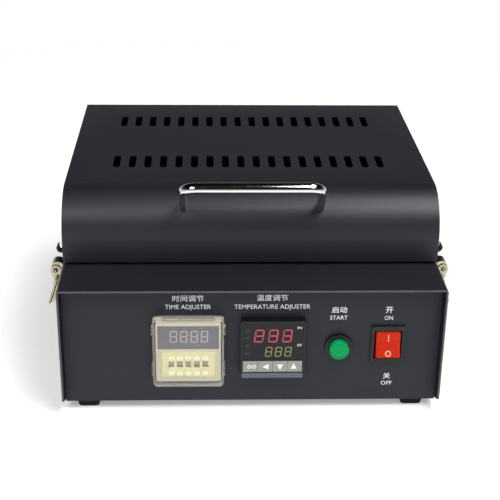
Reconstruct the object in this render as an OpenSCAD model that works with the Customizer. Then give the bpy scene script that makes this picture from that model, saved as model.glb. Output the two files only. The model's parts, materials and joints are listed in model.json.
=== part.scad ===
// Bench reflow oven: a sheet-metal base with a front control panel, a heated plate in a
// sunken chamber, and a lid on two rear hinges with a draw latch on each side.
// X runs to the right, Y to the back and Z up. The origin is on the desk, at the middle
// of the overall width and depth. Millimetres.

/* [Base] */
// Width over the base cover
body_w = 284; // [276:1:330]
// Depth of the base cover, from its front rim to the rear wall
body_d = 277; // [272:1:330]
// Height of the cover's sides
cover_h = 96.5; // [94:0.5:120]
// Sheet thickness of the cover
cover_t = 1.5; // [1:0.1:2.5]
// Height of the slanting cut at the foot of the cover's front rim
cover_cut_h = 4.5; // [1:0.5:8]
// Outside radius of the cover's long bends
cover_bend_r = 2.2; // [1:0.1:5]
// How far the chassis hangs below the cover's sides
chassis_drop = 1; // [0.5:0.5:6]
// Sheet thickness of the chassis
chassis_t = 1.5; // [1:0.1:2.5]
// Height of the chassis's turned-up edges
chassis_flange_h = 16; // [14:1:24]
// Distance from the cover's front rim back to the front panel
panel_inset = 10; // [9.5:0.5:14]
// Thickness of the front and rear panels
panel_t = 1.5; // [1:0.1:2.5]
// Gap around a sheet part that slides into another
sheet_gap = 0.3; // [0.1:0.05:0.6]

/* [Feet] */
// Height of a rubber foot
foot_h = 7.5; // [5:0.5:15]
// Width of a square foot where it meets the chassis
foot_w = 18.4; // [16:0.2:24]
// Width of a foot on the desk
foot_base_w = 15.8; // [15:0.2:24]
// Corner radius of a foot, seen from above
foot_corner_r = 2.8; // [1:0.1:4]
// Distance between the left and right feet
foot_span_x = 247.2; // [220:0.2:260]
// Distance from the cover's front and rear edges in to a foot's centre
foot_inset_y = 22.8; // [20:0.2:60]
// Diameter of the recess for a foot's screw
foot_recess_d = 9; // [8.5:0.5:11]

/* [Lid] */
// Air gap between the cover's top and the lid's lower edge
lid_gap = 2; // [1.8:0.1:4]
// Height of the lid
lid_h = 51; // [48:1:80]
// Distance from the cover's front rim back to the lid's front
lid_setback = 45; // [43:1:50]
// How far the lid's sides stand in from the cover's sides
lid_side_step = 0.75; // [0.25:0.05:2]
// Sheet thickness of the lid
lid_t = 1.2; // [0.8:0.1:2]
// Radius of the big bend at the lid's upper front
lid_bend_r = 34; // [30:1:40]
// Radius of the lid's upper rear bend
lid_rear_r = 4; // [2:0.5:8]
// Width of the lid's turned-in lower flange
lid_flange_w = 7; // [5:0.5:7]
// How far the lid opens, in degrees
lid_open_angle = 100; // [60:5:100]
// Diameter of a rubber bumper under the lid
bumper_d = 6; // [4:0.5:6]

/* [Lid vents] */
// Number of slots in a row
vent_count = 18; // [4:1:20]
// Distance between slots in a row
vent_pitch = 12.3; // [8:0.1:12.5]
// Width of a slot
vent_w = 5.5; // [3:0.1:6]
// Length of a slot
vent_len = 27; // [15:1:40]
// Distance between the two rows
vent_row_gap = 100.8; // [60:0.2:110]

/* [Lid handle] */
// Distance between the handle's two legs
handle_span = 103; // [80:1:120]
// Height of the grip's centre over the lid
handle_h = 34.5; // [28:0.5:45]
// Thickness of the bar, as seen along the handle
handle_t = 6.5; // [4:0.5:7]
// Width of the bar, across the handle
handle_w = 8; // [7:0.5:12]
// Bend radius at the handle's corners, along the bar's middle
handle_bend_r = 10; // [7:0.5:14]
// Lean of the handle's legs above the horizontal, in degrees
handle_angle = 45; // [35:1:60]
// Diameter of a handle screw
handle_screw_d = 4; // [3:0.5:4]

/* [Chamber] */
// Inside width of the heated chamber
chamber_w = 216; // [200:1:230]
// Distance from the cover's front rim back to the chamber
chamber_setback = 106; // [103:1:115]
// Depth of the chamber below the cover's top
chamber_sink = 30; // [28:1:36]
// Distance from the chamber to the rear wall
chamber_back = 16; // [15.5:0.5:17]
// Sheet thickness of the chamber pan
chamber_t = 1; // [0.6:0.1:1.4]
// Width of the pan's rim on the cover
chamber_lip = 6; // [4:0.5:7]
// Width of the heated plate
plate_w = 180; // [150:1:190]
// Gap between the heated plate and the chamber's front and rear walls
plate_gap = 12.5; // [9.5:0.5:22]
// Thickness of the heated plate
plate_t = 12; // [11:0.5:16]
// Height of the plate over the pan's floor
plate_lift = 10; // [6:0.5:12]
// Diameter of a cartridge heater
heater_d = 8; // [6:0.5:8]
// Length of a cartridge heater
heater_len = 150; // [120:1:150]
// Distance between the cartridge heaters
heater_pitch = 42; // [30:1:48]
// Diameter of the temperature probe
probe_d = 3; // [2:0.5:4]
// Length of the temperature probe
probe_len = 55; // [30:1:70]
// Thickness of the insulation around the pan
insulation_t = 6; // [4:0.5:7]
// Height of the liner's ceiling over the lid's lower edge
liner_h = 23; // [18:1:26]
// Sheet thickness of the liner
liner_t = 0.8; // [0.6:0.1:1]
// How far the liner's opening stands out past the chamber
liner_margin = 6; // [4:0.5:6]
// Thickness of the insulation over the liner
lid_insulation_t = 8; // [5:0.5:10]

/* [Hinges] */
// Distance of each hinge's middle from the oven's middle
hinge_x = 95; // [60:1:105]
// Width of a hinge
hinge_w = 50; // [40:1:60]
// Height of a hinge leaf, from its axis
hinge_leaf_h = 20; // [16:1:26]
// Thickness of a hinge leaf
hinge_leaf_t = 1.2; // [1:0.1:1.6]
// Outside radius of a hinge knuckle
knuckle_r = 3; // [2.6:0.1:3.6]
// Radius of a hinge pin
hinge_pin_r = 1.5; // [1:0.1:1.8]
// Running clearance around a pin
pin_clearance = 0.05; // [0.03:0.01:0.08]
// Gap between neighbouring knuckles
knuckle_gap = 0.2; // [0.1:0.05:0.4]
// Reach of the stop on a lid knuckle, from the hinge axis
hinge_stop_reach = 5.2; // [4.8:0.1:6]

/* [Latches] */
// Distance from the cover's front rim back to a latch's middle
latch_y = 61; // [57:1:120]
// Depth of a latch's pivot below the cover's top
latch_drop = 9; // [8:0.5:12]
// Distance of a latch's pivot out from the cover's side
latch_out = 6.3; // [6:0.1:8]
// Width over the lever's cheeks
latch_w = 12.8; // [11:0.2:16]
// Thickness of the latch's sheet parts
latch_t = 1; // [0.8:0.1:1.4]
// Diameter of the latch's pivot pin
latch_pin_d = 2.6; // [2:0.1:3.2]
// Diameter of the latch's wire bail
bail_d = 2; // [1.6:0.1:2.2]
// Lean of the hanging bail out from the vertical, in degrees
bail_lean = 18.3; // [16:0.1:24]
// Length of the lever from its pivot to its tip
lever_len = 25.2; // [22:0.2:26]
// Width of the lever's folded edges
lever_edge_w = 3; // [2:0.2:3.4]
// Width of the keeper's hook
keeper_w = 5; // [4:0.5:9]
// Thickness of the keeper's hook
keeper_t = 2; // [1.5:0.1:2.5]
// Height of the hook's tip over the middle of its bend
keeper_tip = 3; // [2.4:0.1:5]
// Height of the hook's underside over the lid's lower edge
keeper_lift = 1.8; // [0.7:0.1:3]

/* [Panel layout] */
// Middle of the timer, from the oven's middle
timer_x = -47.3; // [-60:0.1:-40]
// Middle of the timer, over the desk
timer_z = 52.6; // [48:0.1:60]
// Middle of the temperature controller, from the oven's middle
controller_x = 15.2; // [12:0.1:20]
// Middle of the temperature controller, over the desk
controller_z = 54.4; // [48:0.1:60]
// Middle of the start button, from the oven's middle
button_x = 64.7; // [58:0.1:68]
// Middle of the start button, over the desk
button_z = 53.8; // [45:0.1:65]
// Middle of the mains switch, from the oven's middle
switch_x = 101.5; // [98:0.1:106]
// Middle of the mains switch, over the desk
switch_z = 55.6; // [45:0.1:65]

/* [Timer and controller] */
// Width and height of each instrument's front
bezel_size = 48; // [47:0.5:50]
// How far an instrument's front stands out from the panel
bezel_depth = 7; // [6.5:0.25:7.5]
// Wall thickness of an instrument's front
bezel_t = 1.6; // [1.2:0.1:2]
// Width and height of an instrument's case behind the panel
case_size = 45; // [43:0.5:46]
// Length of the controller's case
controller_len = 78; // [60:1:80]
// Length of the timer's case
timer_len = 70; // [50:1:80]
// Wall thickness of the cases
case_t = 1.5; // [1:0.1:2]
// Gap around a part that sits in an opening
part_gap = 0.1; // [0.05:0.05:0.2]
// Width of the controller's display window
display_w = 44.4; // [40:0.2:44.6]
// Height of the controller's key strip
key_strip_h = 9.4; // [8:0.2:11]
// Height of the blank strip under the keys
name_strip_h = 4; // [3:0.2:7]
// Travel of a controller key
controller_key_travel = 0.6; // [0.3:0.1:1]
// Width of the timer's window
timer_window_w = 45.2; // [40:0.2:45.4]
// Height of the timer's window
timer_window_h = 19.6; // [16:0.2:20]
// Width of the timer's switch block
switch_block_w = 39.3; // [36:0.1:41]
// Height of the timer's switch block
switch_block_h = 20.4; // [19:0.2:21]
// How far the switch block stands proud of the timer's front
switch_block_proud = 0.7; // [0.4:0.1:1]
// Distance between the timer's digits
digit_pitch = 6.27; // [5.8:0.01:6.6]
// Width of a digit opening
digit_w = 4.2; // [3.6:0.1:4.6]
// Height of a digit opening
digit_h = 5.2; // [4.4:0.1:5.6]
// Radius of a digit wheel
wheel_r = 5.6; // [5:0.1:5.8]
// Width of a timer key
timer_key_w = 3.8; // [3:0.1:4.2]
// Height of a timer key
timer_key_h = 2.6; // [2:0.1:3]
// Travel of a timer key
timer_key_travel = 1; // [0.5:0.1:1]

/* [Timer cover] */
// Width of the clear cover
shield_w = 52.6; // [52:0.1:56]
// Distance from the pivot down to the cover's lower edge
shield_drop = 54; // [53.4:0.2:58]
// Gap between the clear cover and the timer's keys
shield_gap = 0.4; // [0.3:0.05:0.6]
// Wall thickness of the clear cover
shield_t = 1; // [0.8:0.1:1.2]
// Radius of the cover's pivot stubs
shield_pin_r = 0.9; // [0.8:0.05:1]
// How far the clear cover opens, in degrees
shield_open_angle = 90; // [60:5:90]

/* [Start button] */
// Diameter of the button's threaded barrel
barrel_d = 16; // [14:0.5:19]
// Diameter of the button's front ring
ring_d = 21; // [17.5:0.5:22]
// Thickness of the button's front ring
ring_t = 3; // [1.5:0.1:3]
// Length of the barrel behind the panel
barrel_len = 22; // [20:1:30]
// Diameter of the green cap
cap_d = 14.6; // [12:0.1:14.8]
// How far the cap stands out from the panel
cap_out = 8; // [6:0.1:9]
// Travel of the cap
cap_travel = 3; // [1.5:0.1:4]
// Diameter of the spring's wire
spring_wire_d = 0.9; // [0.6:0.1:1]

/* [Mains switch] */
// Width of the switch's front frame
switch_w = 25.8; // [25:0.1:28]
// Height of the switch's front frame
switch_h = 31; // [30:0.5:34]
// Thickness of the switch's front frame
switch_t = 2; // [1.5:0.1:3]
// Depth of the switch's body behind the panel
switch_depth = 20; // [17:1:26]
// Width of the rocker
rocker_w = 18; // [17:0.1:20]
// Radius of the rocker's rounded ends about its pivot
rocker_r = 11; // [10.5:0.05:12]
// Distance of the rocker's face from its pivot
rocker_face = 5.3; // [4.5:0.1:6]
// Gap between the rocker's sides and its opening
rocker_gap = 1.2; // [0.2:0.1:1.4]
// Tilt of the rocker each way, in degrees
rocker_tilt = 11; // [8:0.5:12]

/* [Rear and wiring] */
// Distance from the cover's right side in to the mains inlet's middle
inlet_inset = 50; // [40:1:60]
// Middle of the mains inlet, over the desk
inlet_z = 34; // [30:1:44]
// Distance from the cover's left side in to the middle of the rear wall's air slots
air_slots_inset = 72; // [50:1:90]
// Number of air slots in the rear wall
air_slot_count = 10; // [4:1:12]
// Width of an air slot
air_slot_w = 3; // [2:0.5:4]
// Length of an air slot
air_slot_len = 26; // [15:1:30]
// Distance between air slots
air_slot_pitch = 6; // [5:0.5:8]
// Width of the relay
relay_w = 45; // [43:1:46]
// Length of the relay
relay_len = 58; // [56:1:60]
// Height of the relay
relay_h = 24; // [20:1:26]
// Gap between a front foot's screw and the relay
relay_gap = 4; // [2:0.5:8]
// Pitch of the terminal block's poles
pole_pitch = 8.4; // [8:0.1:9]
// Number of poles on the terminal block
pole_count = 6; // [4:1:6]
// Depth of the terminal block
terminal_depth = 12; // [10:1:14]
// Height of the terminal block's walls
terminal_h = 15; // [12:1:18]
// Distance from the cover's right side in to the terminal block's middle
terminal_inset = 44; // [40:1:46]
// Gap between the front panel and the terminal block
terminal_gap = 54; // [50:1:58]
// Diameter of the wiring loom
loom_d = 5; // [3:0.5:6]
// Diameter of the cover's screws
screw_d = 3; // [2.5:0.5:3]

/* [Hidden] */
$fn = 64;
EPS = 0.01;

// Overall depth: the stops on the hinge knuckles reach furthest back
hinge_off = knuckle_r + 0.2;
overall_d = body_d + hinge_off + hinge_stop_reach;
front_y = -overall_d / 2;
rear_y = front_y + body_d;

// Base heights
side_z = foot_h + chassis_drop;
top_z = side_z + cover_h;
floor_z = foot_h + chassis_t;
inner_w = body_w - 2 * (cover_t + sheet_gap);
inner_top_z = top_z - cover_t - sheet_gap;
panel_y = front_y + panel_inset;
panel_back_y = panel_y + panel_t;
rear_panel_y = rear_y - panel_t;

// Lid
lid_w = body_w - 2 * lid_side_step;
lid_z = top_z + lid_gap;
lid_top_z = lid_z + lid_h;
lid_front_y = front_y + lid_setback;
bend_y = lid_front_y + lid_bend_r;
bend_z = lid_top_z - lid_bend_r;
vent_mid_y = (bend_y + rear_y - lid_rear_r) / 2;
hinge_y = rear_y + hinge_off;
hinge_z = top_z + lid_gap / 2;

// Chamber
chamber_y1 = rear_y - chamber_back;
chamber_y0 = front_y + chamber_setback;
chamber_mid_y = (chamber_y0 + chamber_y1) / 2;
plate_d = chamber_y1 - chamber_y0 - 2 * plate_gap;
chamber_floor_z = top_z - chamber_sink;
pan_rim_t = min(chamber_t, lid_gap - 0.4);
plate_z = chamber_floor_z + plate_lift;
probe_out = min(14, (chamber_w - plate_w) / 2 - 1);
liner_top_z = lid_z + liner_h;

// Screws
hinge_screw_r = screw_d / 2;
rivet_r = 1.3;
cover_screw_z = side_z + cover_cut_h + 3.5;
cover_screw_ys = [front_y + 30, (front_y + rear_y) / 2, rear_y - 30];
foot_ys = [front_y + foot_inset_y, rear_y - foot_inset_y];
foot_screw_r = 2;

// Latch, as (out from the cover's side, up from the pivot)
latch_mid_y = front_y + latch_y;
latch_z = top_z - latch_drop;
latch_half = latch_w / 2;
ear_half = latch_half - latch_t - 0.2;
bail_pivot = [-1, -6];
waist = [-0.55, -8.4];
waist_r = 1.9;
hood_r = 4.9;
hood = [hood_r, 1.5];
lever_tip = [3.7, -lever_len];
bail_r = bail_d / 2;
bail_side = latch_half + 0.8 + bail_r;
keeper_plate_t = 1;
keeper_slot_r = bail_r + 0.6;
keeper_ring_r = keeper_slot_r + keeper_t;
// Middle of the hook's bend, as (out from the cover's side, up from the latch's pivot)
keeper_mid = [
    keeper_plate_t - lid_side_step + keeper_slot_r,
    lid_z + keeper_lift + keeper_ring_r - latch_z
];
// The hooked bail's crossbar rests in the bottom of that bend
hooked = [keeper_mid[0], keeper_mid[1] - keeper_slot_r + bail_r + 0.05];
pivot_abs = [latch_out + bail_pivot[0], bail_pivot[1]];
bail_len = norm(hooked - pivot_abs);

// Instruments
bezel_y = panel_y - bezel_depth;
bezel_bottom = -bezel_size / 2 + 1.5;
strip_z0 = controller_z + bezel_bottom + name_strip_h;
strip_z1 = strip_z0 + key_strip_h;
display_z0 = strip_z1 + 0.8;
display_z1 = controller_z + bezel_size / 2 - 2;
key_w = display_w / 4;
timer_window_z1 = timer_z + bezel_size / 2 - 1.6;
timer_window_z0 = timer_window_z1 - timer_window_h;
block_z1 = timer_window_z0 - 1.9;
block_z0 = block_z1 - switch_block_h;
block_y = bezel_y - switch_block_proud;
block_t = 1.6;
digit_z = block_z0 + switch_block_h / 2 - 0.1;
plus_z = digit_z + digit_h / 2 + 1.2 + timer_key_h / 2;
minus_z = digit_z - digit_h / 2 - 3.7 - timer_key_h / 2;
key_proud = 0.4;
wheel_y = block_y + block_t + 0.3 + wheel_r;

// Timer cover
shield_lug_r = 1.3;
shield_r = shield_lug_r + shield_gap + shield_t;
shield_pivot_y = panel_y - shield_r - 0.3;
shield_pivot_z = timer_z + bezel_size / 2 + 1.8;
shield_z0 = shield_pivot_z - shield_drop;
shield_z1 = shield_pivot_z + shield_r;
shield_y = block_y - key_proud - shield_gap - shield_t;

// Start button
barrel_r = barrel_d / 2;
cap_r = cap_d / 2;
cap_bore_r = cap_r + 0.15;
cap_back_y = panel_y + 1.5;
bore_floor_y = panel_y + 10;
bore_floor_t = 1.5;
stem_r = 4;
stem_clip_r = 5.2;
spring_r = (stem_r + cap_bore_r) / 2;
spring_turns = 5;
spring_sides = 8;
spring_steps = 14;

// Mains switch
rocker_y = panel_y + 0.6;
rocker_pin_r = 1;
rocker_hole_h = rocker_r + 0.5;

// Electronics
inlet_x = body_w / 2 - inlet_inset;
inlet_body_w = 27.4;
inlet_body_h = 19.8;
inlet_flange_t = 3;
inlet_screw_gap = 40;
inlet_tab = 9;
socket_w = 24;
socket_h = 16;
socket_deep = 17;
air_slots_x = -body_w / 2 + air_slots_inset;
relay_x = (-inner_w / 2 + timer_x - case_size / 2) / 2;
relay_y = foot_ys[0] + foot_screw_r + relay_gap;
terminal_x = body_w / 2 - terminal_inset;
terminal_y = panel_back_y + terminal_gap;
terminal_half = pole_pitch * pole_count / 2;
loom_z = floor_z + loom_d;

// ---- Shared shapes ----

// A box between two corners
module box(x0, x1, y0, y1, z0, z1) {
    translate([x0, y0, z0]) cube([x1 - x0, y1 - y0, z1 - z0]);
}

// A drawing in Y and Z, carried along X
module along_x(x0, len) {
    translate([x0, 0, 0]) rotate([90, 0, 90]) linear_extrude(len) children();
}

// A drawing in X and Z, carried along Y
module along_y(y0, len) {
    translate([0, y0 + len, 0]) rotate([90, 0, 0]) linear_extrude(len) children();
}

// A round bar along X or Y from a point
module rod_x(x, y, z, len, r) {
    translate([x, y, z]) rotate([0, 90, 0]) cylinder(h = len, r = r);
}

module rod_y(x, y, z, len, r) {
    translate([x, y, z]) rotate([-90, 0, 0]) cylinder(h = len, r = r);
}

// A rectangle about a middle with rounded corners
module round_rect(x, y, w, h, r) {
    translate([x, y]) {
        square([w - 2 * r, h], center = true);
        square([w, h - 2 * r], center = true);
        for (i = [-1, 1]) {
            for (j = [-1, 1]) {
                translate([i * (w / 2 - r), j * (h / 2 - r)]) circle(r = r);
            }
        }
    }
}

// A plain rectangle about a middle
module flat_rect(x, y, w, h) {
    translate([x, y]) square([w, h], center = true);
}

// Two circles joined by their outer tangents
module taper_link(p, rp, q, rq) {
    d = norm(q - p);
    a = atan2(q[1] - p[1], q[0] - p[0]);
    b = acos((rp - rq) / d);
    up = [cos(a + b), sin(a + b)];
    down = [cos(a - b), sin(a - b)];
    translate(p) circle(r = rp);
    translate(q) circle(r = rq);
    polygon([p + rp * up, q + rq * up, q + rq * down, p + rp * down]);
}

// A line of even thickness through points, round at every point
module stroke(points, t) {
    for (i = [0 : len(points) - 2]) {
        taper_link(points[i], t / 2, points[i + 1], t / 2);
    }
}

// A copy on each side of the oven
module both_sides() {
    children();
    mirror([1, 0, 0]) children();
}

// A pan-head screw that points along -Z, its head's underside at the origin
module screw(r, len) {
    cylinder(h = r * 1.2, r = r * 1.9);
    translate([0, 0, -len]) cylinder(h = len, r = r);
}

// A rivet through a grip along -Z, its head's underside at the origin
module rivet(grip) {
    cylinder(h = 0.9, r = rivet_r * 1.7);
    translate([0, 0, -grip]) cylinder(h = grip, r = rivet_r);
    translate([0, 0, -grip - 0.9]) cylinder(h = 0.9, r = rivet_r * 1.6);
}

// ---- Base: sheet metal ----

module cover_outline(inset) {
    w = body_w - 2 * inset;
    r = max(cover_bend_r - inset, 0.3);
    z1 = top_z - inset;
    translate([-w / 2, side_z]) square([w, z1 - r - side_z]);
    translate([-w / 2 + r, side_z]) square([w - 2 * r, z1 - side_z]);
    for (i = [-1, 1]) {
        translate([i * (w / 2 - r), z1 - r]) circle(r = r);
    }
}

module base_cover() {
    hole = screw_d / 2 + 0.2;
    color("#26282c") difference() {
        along_y(front_y, body_d) cover_outline(0);
        translate([0, 0, -EPS]) along_y(front_y - 1, body_d + 2) cover_outline(cover_t);
        // The sides' lower front corners are cut on a slant, up to the rim
        along_x(-body_w / 2 - 1, body_w + 2) polygon([
            [front_y - 1, side_z - 1], [panel_y, side_z - 1], [panel_y, side_z],
            [front_y, side_z + cover_cut_h], [front_y - 1, side_z + cover_cut_h]
        ]);
        box(
            -chamber_w / 2 - chamber_t - sheet_gap, chamber_w / 2 + chamber_t + sheet_gap,
            chamber_y0 - chamber_t - sheet_gap, chamber_y1 + chamber_t + sheet_gap,
            top_z - 2 * cover_t, top_z + 1
        );
        for (y = cover_screw_ys) {
            rod_x(-body_w, y, cover_screw_z, 2 * body_w, hole);
        }
        for (z = latch_rivet_zs()) {
            rod_x(-body_w, latch_mid_y, z, 2 * body_w, rivet_r);
        }
    }
}

module chassis_pan() {
    y0 = panel_back_y;
    y1 = rear_panel_y;
    w = inner_w;
    color("#1f2124") difference() {
        union() {
            box(-w / 2, w / 2, y0, y1, foot_h, floor_z);
            both_sides() box(w / 2 - chassis_t, w / 2, y0, y1, foot_h, foot_h + chassis_flange_h);
            box(-w / 2, w / 2, y0, y0 + chassis_t, foot_h, foot_h + chassis_flange_h);
            box(-w / 2, w / 2, y1 - chassis_t, y1, foot_h, foot_h + chassis_flange_h);
        }
        for (y = cover_screw_ys) {
            rod_x(-body_w, y, cover_screw_z, 2 * body_w, screw_d / 2 + 0.05);
        }
        for (y = foot_ys) {
            both_sides() translate([foot_span_x / 2, y, foot_h - 1])
                cylinder(h = chassis_t + 2, r = foot_screw_r + 0.05);
        }
        // Air slots under the electronics
        for (i = [-4 : 4]) {
            box(i * 9 - 1.5, i * 9 + 1.5, panel_back_y + 30, panel_back_y + 62, foot_h - 1, floor_z + 1);
        }
    }
}

module front_panel() {
    w = inner_w;
    color("#33353a") difference() {
        union() {
            box(-w / 2, w / 2, panel_y, panel_back_y, foot_h, inner_top_z);
            // Folded edges that stiffen the panel against the cover
            both_sides() box(
                w / 2 - panel_t, w / 2, panel_y, panel_back_y + 8,
                foot_h + chassis_flange_h + 1, inner_top_z
            );
            box(-w / 2, w / 2, panel_y, panel_back_y + 8, inner_top_z - panel_t, inner_top_z);
        }
        along_y(panel_y - 1, panel_t + 2) {
            flat_rect(timer_x, timer_z, case_size + 2 * part_gap, case_size + 2 * part_gap);
            flat_rect(controller_x, controller_z, case_size + 2 * part_gap, case_size + 2 * part_gap);
            flat_rect(switch_x, switch_z, switch_body_w() + 2 * part_gap, switch_body_h() + 2 * part_gap);
        }
        rod_y(button_x, panel_y - 1, button_z, panel_t + 2, barrel_r + part_gap);
    }
}

module rear_panel() {
    w = inner_w;
    color("#26282c") difference() {
        box(-w / 2, w / 2, rear_panel_y, rear_y, foot_h, inner_top_z);
        along_y(rear_panel_y - 1, panel_t + 2) {
            flat_rect(inlet_x, inlet_z, inlet_body_w + 2 * part_gap, inlet_body_h + 2 * part_gap);
            for (i = [0 : air_slot_count - 1]) {
                x = air_slots_x + (i - (air_slot_count - 1) / 2) * air_slot_pitch;
                round_rect(x, side_z + air_slot_len / 2 + 16, air_slot_w, air_slot_len, air_slot_w * 0.49);
            }
        }
        for (x = inlet_screw_xs()) {
            rod_y(x, rear_panel_y - 1, inlet_z, panel_t + 2, screw_d / 2 + 0.05);
        }
        for (p = hinge_screw_places(-1)) {
            rod_y(p[0], rear_panel_y - 1, p[1], panel_t + 2, hinge_screw_r);
        }
    }
}

// A foot's outline at a height, 0.01 thick towards the foot's middle
module foot_slice(z, w) {
    translate([0, 0, z - (z > 0 ? EPS : 0)]) linear_extrude(EPS) square_outline(w, foot_corner_r);
}

module square_outline(w, r) {
    offset(r = r) square(w - 2 * r, center = true);
}

module rubber_feet() {
    color("#141414") both_sides() {
        for (y = foot_ys) {
            translate([foot_span_x / 2, y, 0]) difference() {
                hull() {
                    foot_slice(0, foot_base_w);
                    foot_slice(foot_h, foot_w);
                }
                translate([0, 0, -1]) cylinder(h = 1 + foot_h - 2.5, r = foot_recess_d / 2);
                translate([0, 0, -1]) cylinder(h = foot_h + 2, r = foot_screw_r + 0.05);
            }
        }
    }
}

// Foot screws, cover screws, inlet screws, hinge screws and latch rivets
module base_fasteners() {
    color("#8d9094") {
        both_sides() {
            for (y = foot_ys) {
                translate([foot_span_x / 2, y, foot_h - 2.5]) mirror([0, 0, 1])
                    screw(foot_screw_r, 2.5 + chassis_t + 2);
            }
            for (y = cover_screw_ys) {
                translate([body_w / 2, y, cover_screw_z]) rotate([0, 90, 0])
                    screw(screw_d / 2, cover_t + sheet_gap + chassis_t + 2);
            }
            for (z = latch_rivet_zs()) {
                translate([body_w / 2 + latch_t, latch_mid_y, z]) rotate([0, 90, 0]) {
                    rivet(latch_t + cover_t);
                }
            }
        }
        for (x = inlet_screw_xs()) {
            translate([x, rear_y + inlet_flange_t, inlet_z]) rotate([-90, 0, 0])
                screw(screw_d / 2, inlet_flange_t + panel_t + 3);
        }
        for (p = hinge_screw_places(-1)) {
            translate([p[0], rear_y + hinge_leaf_t, p[1]]) rotate([-90, 0, 0])
                screw(hinge_screw_r, hinge_leaf_t + panel_t + 2);
        }
    }
}

module lid_bumpers() {
    x = lid_w / 2 - lid_t - lid_flange_w / 2;
    color("#1a1a1a") both_sides() {
        for (y = [lid_front_y + lid_t + lid_flange_w / 2, rear_y - 24]) {
            translate([x, y, top_z]) cylinder(h = lid_gap, r = bumper_d / 2);
        }
    }
}

// ---- Base: chamber ----

module chamber_pan() {
    x = chamber_w / 2;
    t = chamber_t;
    color("#b9bcbf") difference() {
        union() {
            box(-x - t, x + t, chamber_y0 - t, chamber_y1 + t, chamber_floor_z - t, top_z + pan_rim_t);
            box(
                -x - chamber_lip, x + chamber_lip, chamber_y0 - chamber_lip, chamber_y1 + chamber_lip,
                top_z, top_z + pan_rim_t
            );
        }
        box(-x, x, chamber_y0, chamber_y1, chamber_floor_z, top_z + 2);
        for (i = [-1, 1]) {
            for (j = [-1, 1]) {
                translate([i * standoff_x(), chamber_mid_y + j * standoff_y(), chamber_floor_z - 2])
                    cylinder(h = 3, r = 1.5);
            }
        }
    }
}

module insulation_board() {
    x = chamber_w / 2 + chamber_t;
    s = insulation_t;
    color("#e4dfd2") difference() {
        box(
            -x - s, x + s, chamber_y0 - chamber_t - s, chamber_y1 + chamber_t + s,
            chamber_floor_z - chamber_t - s, top_z - cover_t - 4
        );
        box(
            -x, x, chamber_y0 - chamber_t, chamber_y1 + chamber_t,
            chamber_floor_z - chamber_t, top_z
        );
    }
}

module heater_plate() {
    color("#9a9da0") difference() {
        box(
            -plate_w / 2, plate_w / 2, chamber_mid_y - plate_d / 2, chamber_mid_y + plate_d / 2,
            plate_z, plate_z + plate_t
        );
        for (i = [-1 : 1]) {
            rod_x(
                plate_w / 2 - heater_len, chamber_mid_y + i * heater_pitch, plate_z + plate_t / 2,
                heater_len + 1, heater_d / 2
            );
        }
        rod_x(
            -plate_w / 2 - 1, chamber_mid_y + heater_pitch / 2, plate_z + plate_t / 2,
            probe_len - probe_out + 1, probe_d / 2
        );
    }
}

module plate_standoffs() {
    color("#ece7da") {
        for (i = [-1, 1]) {
            for (j = [-1, 1]) {
                translate([i * standoff_x(), chamber_mid_y + j * standoff_y(), chamber_floor_z]) {
                    cylinder(h = plate_lift, r = 5);
                    translate([0, 0, -chamber_t]) cylinder(h = chamber_t, r = 1.5);
                }
            }
        }
    }
}

module cartridge_heaters() {
    color("#c4c4c0") {
        for (i = [-1 : 1]) {
            rod_x(
                plate_w / 2 - heater_len, chamber_mid_y + i * heater_pitch, plate_z + plate_t / 2,
                heater_len + 3, heater_d / 2
            );
        }
    }
}

module thermocouple() {
    color("#d0d0cc") rod_x(
        -plate_w / 2 - probe_out, chamber_mid_y + heater_pitch / 2, plate_z + plate_t / 2,
        probe_len, probe_d / 2
    );
}

// ---- Base: electronics ----

module solid_state_relay() {
    x0 = relay_x - relay_w / 2;
    x1 = relay_x + relay_w / 2;
    y1 = relay_y + relay_len;
    base_t = 3;
    color("#e9e4d4") difference() {
        union() {
            box(x0, x1, relay_y, y1, floor_z, floor_z + base_t);
            box(x0 + 1, x1 - 1, relay_y + 1, y1 - 1, floor_z + base_t, floor_z + relay_h);
        }
        // Wells for the terminal screws
        for (x = [x0 + relay_w * 0.22, x1 - relay_w * 0.22]) {
            for (y = [relay_y + relay_len * 0.16, y1 - relay_len * 0.16]) {
                translate([x, y, floor_z + relay_h * 0.75]) cylinder(h = relay_h, r = relay_w * 0.09);
            }
        }
    }
}

module terminal_block() {
    x0 = terminal_x - terminal_half;
    y1 = terminal_y + terminal_depth;
    wall = pole_pitch * 0.19;
    low = floor_z + terminal_h * 0.6;
    color("#d8d8d2") difference() {
        union() {
            box(x0, x0 + 2 * terminal_half + wall, terminal_y, y1, floor_z, low);
            for (i = [0 : pole_count]) {
                x = x0 + i * pole_pitch;
                box(x, x + wall, terminal_y, y1, floor_z, floor_z + terminal_h);
            }
        }
        for (i = [0 : pole_count - 1]) {
            translate([x0 + (i + 0.5) * pole_pitch + wall / 2, terminal_y + terminal_depth / 2, low - 4])
                cylinder(h = terminal_h, r = pole_pitch * 0.28);
        }
    }
}

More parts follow.
